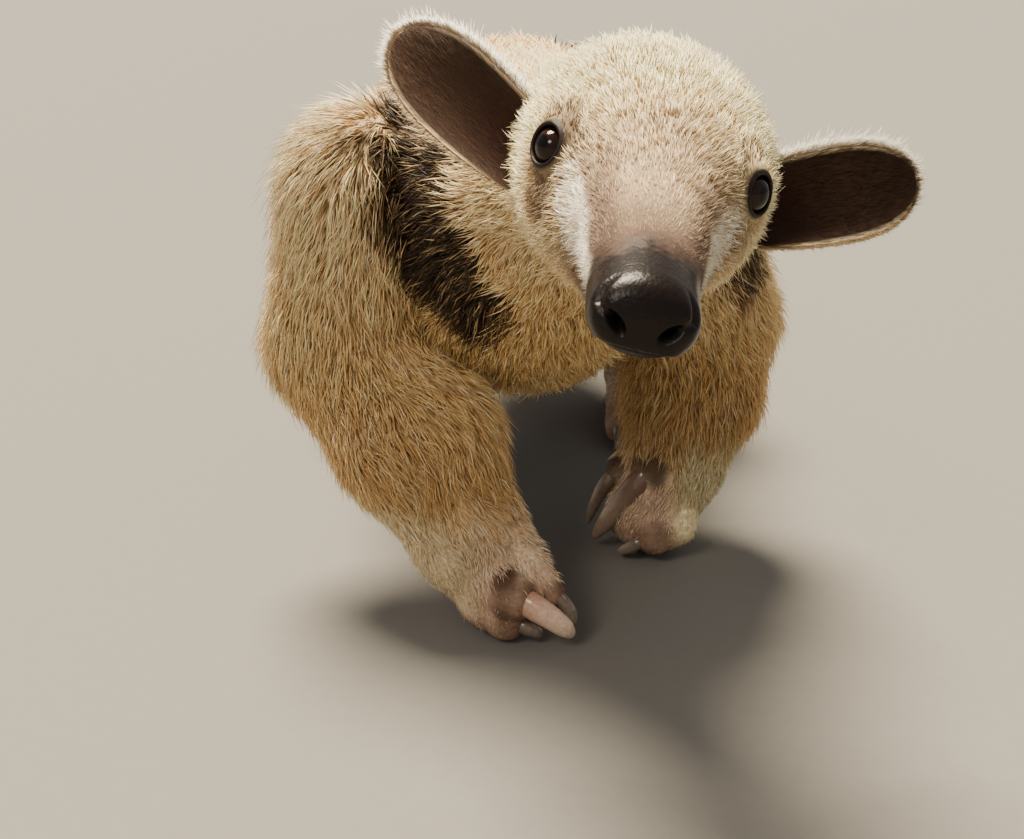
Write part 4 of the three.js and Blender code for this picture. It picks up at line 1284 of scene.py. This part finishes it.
def ear_point(side, share, turn_share, out):
    """A place on the ear's wall: share along it, turn from -1 to 1 across it, out from its inner face."""
    root, tip, opens = (np.array(v, float) for v in EARS[side])
    reach = tip - root
    along = unit(reach)
    length = np.linalg.norm(reach) + EAR_SUNK
    facing = unit(opens - along * (opens @ along))
    across = np.cross(along, facing)
    bend = np.radians(EAR_BEND[0] + (EAR_BEND[1] - EAR_BEND[0]) * share)
    wide, left = ear_width(share)
    radius = wide / 2 / np.sin(bend)
    curl = EAR_CURL * fade(share, 0.5, 1.05)
    middle = root + along * (length * share - EAR_SUNK)[:, None] + facing * curl[:, None]
    upper = turn_share * (1 if side == "right" else -1)
    turn = bend * turn_share * left * (1 - 0.13 * fade(upper, 0, 1))
    reach_out = radius * (1 + 0.05 * np.abs(turn_share) ** 3) + out
    place = middle + across * (np.sin(turn) * reach_out)[:, None]
    place = place + facing * (radius * 0.7 - np.cos(turn) * reach_out)[:, None]
    return from_head(place)


def make_ear(name, side, skin, hair):
    """The cup of the ear: a thin wall with a rounded edge, hair inside, outside and along the rim."""
    rows, columns = EAR_ROWS, EAR_COLUMNS
    share = np.sin(np.linspace(0, 1, rows + 1) * np.pi / 2)
    across = np.linspace(-1, 1, columns + 1)
    s, t = (v.ravel() for v in np.meshgrid(share, across, indexing="ij"))
    thin = EAR_THICKNESS * (1 - 0.45 * s**3) * np.sqrt(np.clip(1 - np.abs(t) ** 6, 0.04, 1))
    inner = ear_point(side, s, t, np.zeros_like(s))
    outer = ear_point(side, s, t, thin)
    points = np.concatenate([inner, outer])
    n = (rows + 1) * (columns + 1)
    grid = np.arange(n).reshape(rows + 1, columns + 1)
    quads = np.stack([grid[:-1, :-1], grid[1:, :-1], grid[1:, 1:], grid[:-1, 1:]], -1).reshape(-1, 4)
    rim = np.concatenate([grid[:, 0], grid[-1, 1:], grid[::-1, -1][1:], grid[0, ::-1][1:]])
    strip = np.stack([rim[:-1], rim[1:], rim[1:] + n, rim[:-1] + n], 1)
    quads = np.concatenate([quads, quads[:, ::-1] + n, strip[:, ::-1]])
    faces = np.concatenate([quads[:, [0, 1, 2]], quads[:, [0, 2, 3]]])
    centre = points.mean(0)
    a, b, c = (points[faces] - centre).transpose(1, 0, 2)
    if (np.cross(a, b) * c).sum() < 0:
        faces = faces[:, ::-1]
    edge = np.maximum(np.abs(t), fade(s, 0.96, 1.0))
    deep = (1 - fade(s, 0.25, 0.6)) * (1 - np.abs(t))
    inside = lay(np.tile(EAR_INSIDE, (n, 1)), EAR_DEPTH, deep)
    inside = lay(inside, EAR_EDGE, fade(edge, 0.9, 0.98) * fade(s, 0.1, 0.3))
    outside = lay(np.tile(EAR_OUTSIDE, (n, 1)), CREAM, fade(edge, 0.5, 1))
    piece = new_piece(name, points, faces, [skin])
    give(piece, "shade", np.concatenate([inside, outside]))
    spots = np.concatenate([np.column_stack([0.24 + t * 0.23, s]), np.column_stack([0.76 + t * 0.23, s])])
    spots = 0.01 + 0.98 * spots
    layer = piece.data.uv_layers.new(name="OFBake")
    layer.data.foreach_set("uv", spots[faces.ravel()].astype(np.float32).ravel())
    settle_piece(piece, "ear", name)
    ear_hair(name.replace("ear", "coat_ear"), side, hair)


def ear_rim(side, count):
    """Places spread evenly along the rim of the ear, as share and turn, with the way out from its middle."""
    s = np.concatenate([np.linspace(0.06, 1, 150), np.linspace(1, 0.06, 150)])
    t = np.repeat([-1.0, 1.0], 150)
    line = ear_point(side, s, t, np.zeros(300))
    gone = np.concatenate([[0], np.cumsum(np.linalg.norm(np.diff(line, axis=0), axis=1))])
    spot = chance.uniform(0, gone[-1], count)
    s, t = np.interp(spot, gone, s), np.interp(spot, gone, t)
    here = ear_point(side, s, t, np.full(count, 0.35))
    return s, t, here, unit(here - ear_point(side, s * 0.78, np.zeros(count), np.zeros(count)))


def ear_hair(name, side, material):
    """Hair on the ear: dark streaks in the cup, short pale hair outside, a pale fringe along the rim that is
    painted white where it faces up, as painted light shining through it.
    """
    scale = 1.0
    root, tip = (from_head(v) for v in EARS[side][:2])
    reach = unit(tip - root)

    def grown(title, roots, normals, lie, sizes, colour, bent):
        round_it = (roots - root) @ HEAD[:, 1:]
        spots = np.column_stack([np.arctan2(*round_it.T) / 6.3 + 0.5, ((roots - root) @ reach + 6) / 60])
        spots = np.clip(spots, 0.01, 0.99)
        piece = tuft_piece(f"{name}_{title}", material, roots, normals, lie, sizes, colour, spots, bent)
        settle_piece(piece, "ear")

    def on_wall(count, low, high, most, out, outward):
        s, t = chance.uniform(low, high, count), chance.uniform(-most, most, count)
        here = ear_point(side, s, t, out)
        ahead = ear_point(side, np.minimum(s + 0.01, 1), t, out) - here
        over = ear_point(side, s, t + 0.02, out) - here
        normal = unit(np.cross(over, ahead))
        sign = np.sign((normal * (ear_point(side, s, t, out + 0.5) - here)).sum(1, keepdims=True)) * outward
        lie = unit(unit(ahead) + unit(over) * (chance.normal(0, 0.18, count) + 0.35 * t)[:, None])
        return t, here, normal * sign, lie

    count = int(4200 * scale)
    t, roots, normals, lie = on_wall(count, 0.1, 0.95, 0.93, np.zeros(count), -1)
    tone = tuft_shades(np.tile(EAR_STREAK, (count, 1)), 0.3)
    sizes = (chance.uniform(3, 6, count), np.full(count, 0.14), chance.uniform(0.04, 0.16, count))
    grown("streaks", roots, normals, lie, sizes, tone, False)

    count = int(6000 * scale)
    t, roots, normals, lie = on_wall(count, 0.08, 0.95, 0.9, np.ones(count), 1)
    tone = tuft_shades(lay(np.tile(EAR_BACK_HAIR, (count, 1)), CREAM, np.abs(t)))
    sizes = (chance.uniform(2.5, 4.5, count), np.full(count, 0.32), chance.uniform(0.1, 0.25, count))
    grown("back", roots, normals, lie, sizes, tone, False)

    count = int(4200 * scale)
    s, t, roots, outwards = ear_rim(side, count)
    wall = [ear_point(side, s, t * 0.9, np.full(count, out)) for out in (2.0, 0.0)]
    behind = unit(wall[0] - wall[1])
    lie = unit(outwards * 0.75 + reach * 0.5 + chance.normal(0, 0.22, (count, 3)))
    high = 0.3 + 0.7 * fade(outwards[:, 2], -0.5, 0.6) * fade(s, 0.05, 0.3)
    long = np.where(chance.random(count) < 0.12, 5.5, 3.2)
    lengths = chance.uniform(0.55, 1.1, count) * long * high
    sizes = (lengths, np.full(count, 0.2), chance.normal(0.15, 0.3, count))
    # The fringe is painted whiter where the rim faces up: its own pale colour, with painted light shining
    # through it from above.
    tone = lay(np.tile(EAR_FRINGE, (count, 1)), WHITE, fade(high, 0.4, 0.8))
    grown("fringe", roots, behind, lie, sizes, tuft_shades(tone, 0.1), True)


def claw_tree():
    """Geometry Nodes: a tapered, flattened horn swept along a curve."""
    tree = bpy.data.node_groups.new("claw_along_curve", "GeometryNodeTree")
    tree.interface.new_socket("Geometry", in_out="INPUT", socket_type="NodeSocketGeometry")
    tree.interface.new_socket("Root radius", in_out="INPUT", socket_type="NodeSocketFloat")
    tree.interface.new_socket("Flatness", in_out="INPUT", socket_type="NodeSocketFloat")
    tree.interface.new_socket("Horn", in_out="INPUT", socket_type="NodeSocketMaterial")
    tree.interface.new_socket("Geometry", in_out="OUTPUT", socket_type="NodeSocketGeometry")
    given = tree.nodes.new("NodeGroupInput").outputs
    smooth = add_node(tree, "GeometryNodeResampleCurve", {"Curve": given["Geometry"], "Count": 40})
    factor = add_node(tree, "GeometryNodeSplineParameter").outputs["Factor"]

    def worked(operation, *values):
        return add_node(tree, "ShaderNodeMath", dict(enumerate(values)), operation=operation).outputs[0]

    taper = worked("MULTIPLY_ADD", worked("POWER", factor, 1.7), -0.45, 1.0)
    blunt = worked("POWER", worked("MULTIPLY_ADD", worked("POWER", factor, 8.0), -0.99, 1.0), 0.5)
    radius = worked("MULTIPLY", worked("MULTIPLY", taper, blunt), given["Root radius"])
    marked = add_node(
        tree,
        "GeometryNodeStoreNamedAttribute",
        {"Geometry": smooth.outputs["Curve"], "Name": "share", "Value": factor},
        data_type="FLOAT",
        domain="POINT",
    )
    sized = add_node(tree, "GeometryNodeSetCurveRadius", {"Curve": marked.outputs[0], "Radius": radius})
    circle = add_node(tree, "GeometryNodeCurvePrimitiveCircle", {"Resolution": 18, "Radius": 1.0})
    narrow = add_node(tree, "ShaderNodeCombineXYZ", {"X": given["Flatness"], "Y": 1.0, "Z": 1.0}).outputs[0]
    oval = add_node(tree, "GeometryNodeTransform", {"Geometry": circle.outputs[0], "Scale": narrow})
    swept = add_node(
        tree,
        "GeometryNodeCurveToMesh",
        {"Curve": sized.outputs[0], "Profile Curve": oval.outputs[0], "Fill Caps": True},
    )
    if "Scale" in swept.inputs:
        own = add_node(tree, "GeometryNodeInputRadius").outputs[0]
        tree.links.new(own, swept.inputs["Scale"])
    rounded = add_node(tree, "GeometryNodeSetShadeSmooth", {"Geometry": swept.outputs[0]})
    real = add_node(tree, "GeometryNodeRealizeInstances", {"Geometry": rounded.outputs[0]})
    covered = {"Geometry": real.outputs[0], "Material": given["Horn"]}
    painted = add_node(tree, "GeometryNodeSetMaterial", covered)
    result = tree.nodes.new("NodeGroupOutput")
    tree.links.new(painted.outputs[0], result.inputs[0])
    return tree


def make_claw(name, line, radius, flatness, tree, material):
    """A claw from its root inside the toe to its blunt tip, closed and rounded."""
    line = np.array(line, float)
    back = unit(line[0] - line[1]) * radius * 0.9
    rows = np.column_stack([np.arange(len(line) + 1), np.vstack([line[0] + back, line])])
    dense = smooth_rows(rows, 0.1)[1]
    dense[:, 2] = np.maximum(dense[:, 2], radius * 0.2 + 0.3)
    data = bpy.data.curves.new(name + "_line", "CURVE")
    data.dimensions = "3D"
    data.twist_mode = "Z_UP"
    spline = data.splines.new("POLY")
    spline.points.add(len(dense) - 1)
    spline.points.foreach_set("co", np.column_stack([(dense + SHIFT) / 1000, np.ones(len(dense))]).ravel())
    curve = bpy.data.objects.new(name + "_line", data)
    bpy.context.scene.collection.objects.link(curve)
    modifier = curve.modifiers.new("claw", "NODES")
    modifier.node_group = tree
    sockets = {item.name: item.identifier for item in tree.interface.items_tree if item.in_out == "INPUT"}
    modifier[sockets["Root radius"]] = radius / 1000
    modifier[sockets["Flatness"]] = flatness
    modifier[sockets["Horn"]] = material
    shown = curve.evaluated_get(bpy.context.evaluated_depsgraph_get())
    mesh = bpy.data.meshes.new_from_object(shown)
    bpy.data.objects.remove(curve)
    corners = np.zeros(len(mesh.vertices) * 3, np.float32)
    mesh.vertices.foreach_get("co", corners)
    corners[2::3] = np.maximum(corners[2::3], 0.0002)
    mesh.vertices.foreach_set("co", corners)
    piece = bpy.data.objects.new(name, mesh)
    bpy.context.scene.collection.objects.link(piece)
    settle_piece(piece, "claw", name)


def make_claws():
    """Four claws on each fore foot and five on each hind foot."""
    tree = claw_tree()
    rosy = horn("rosy_horn", "#8f5a3a", "#bf9a85", "#e0c8aa")
    grey = horn("grey_horn", "#6f5f50", "#5b4d42", "#8b7d70")
    dark = horn("dark_horn", "#5f4639", "#6b5649", "#97826f")
    for side, lines in FINGER_CLAWS.items():
        for i, line in enumerate(lines):
            material = {("right", 2): rosy, ("left", 2): dark}.get((side, i), grey)
            name = f"claw_fore_{side}_{i + 1}"
            make_claw(name, line, FINGER_CLAW_RADIUS[i], FINGER_CLAW_FLATNESS, tree, material)
    for side in THIGHS:
        for i, (_, tip, radius, way) in enumerate(toes_of(side)):
            places = [-2, *(radius + 15 * share - 4 for share in (0.5, 0.8, 1))]
            line = [tip + way * out + [0, 0, rise] for out, rise in zip(places, (1, 1.6, -0.6, -3.6))]
            make_claw(f"claw_hind_{side}_{i + 1}", line, TOE_CLAW_RADIUS, TOE_CLAW_FLATNESS, tree, grey)


# The camera's place in the drawing frame, how far it looks down, and its lens in pixels of the picture
CAMERA_PLACE, CAMERA_DOWN, CAMERA_LENS, PICTURE_WIDTH = (0, -252.9, 218), 18, 1450, 1024
# The sun's strength, how wide it looks and how it leans, in degrees, and the strength of the room's light
SUN_STRENGTH, SUN_WIDTH, SUN_LEAN, ROOM_STRENGTH = 17.0, 28, (-18, -12), 0.75


def make_stage():
    """A plain floor, a soft fill, a high warm sun, the light of the room and the camera."""
    material = studio_floor()
    mesh = bpy.data.meshes.new("studio_floor")
    mesh.from_pydata([(-9, -6, 0), (9, -6, 0), (9, 14, 0), (-9, 14, 0)], [], [(0, 1, 2, 3)])
    mesh.materials.append(material)
    floor = bpy.data.objects.new("studio_floor", mesh)
    bpy.context.scene.collection.objects.link(floor)

    def soft_light(name, place, target, size, power, colour):
        data = bpy.data.lights.new(name, "AREA")
        data.shape = "ELLIPSE"
        data.size, data.size_y = size
        data.energy = power
        data.color = hex_colour(colour)[:3]
        light = bpy.data.objects.new(name, data)
        way = np.subtract(target, place)
        light.location = place
        light.rotation_euler = [np.arccos(-way[2] / np.linalg.norm(way)), 0, np.arctan2(-way[0], way[1])]
        bpy.context.scene.collection.objects.link(light)

    soft_light("front_fill", (-0.9, -1.9, 1.5), (0, -0.3, 0.1), (0.7, 0.7), 24, "#fff3e2")
    key = bpy.data.lights.new("high_key", "SUN")
    key.energy = SUN_STRENGTH
    key.angle = np.radians(SUN_WIDTH)
    key.color = hex_colour("#fff0d4")[:3]
    lamp = bpy.data.objects.new("high_key", key)
    lamp.rotation_euler = (np.radians(SUN_LEAN[0]), np.radians(SUN_LEAN[1]), 0)
    bpy.context.scene.collection.objects.link(lamp)
    world = bpy.data.worlds.new("studio_room")
    world.use_nodes = True
    world.node_tree.nodes["Background"].inputs["Color"].default_value = hex_colour("#d6d4d0")
    world.node_tree.nodes["Background"].inputs["Strength"].default_value = ROOM_STRENGTH
    bpy.context.scene.world = world

    data = bpy.data.cameras.new("camera")
    data.sensor_fit = "HORIZONTAL"
    data.sensor_width = 36.0
    data.lens = CAMERA_LENS / PICTURE_WIDTH * data.sensor_width
    data.clip_start = 0.01
    camera = bpy.data.objects.new("camera", data)
    camera.location = (np.array(CAMERA_PLACE) + SHIFT) / 1000
    camera.rotation_euler = (np.radians(90 - CAMERA_DOWN), 0, 0)
    bpy.context.scene.collection.objects.link(camera)
    bpy.context.scene.camera = camera


make_stage()
hair = guard_hair()
skin_points, skin_faces = make_skin([living_skin(), scaly_tail_skin()])
grow_coat(skin_points, skin_faces, hair)
ear_leather, eye_surface = ear_skin(), wet_eye()
for side_name, way in (("left", 1), ("right", -1)):
    make_eye("eye_" + side_name, way, eye_surface)
    make_ear("ear_" + side_name, side_name, ear_leather, hair)
make_claws()
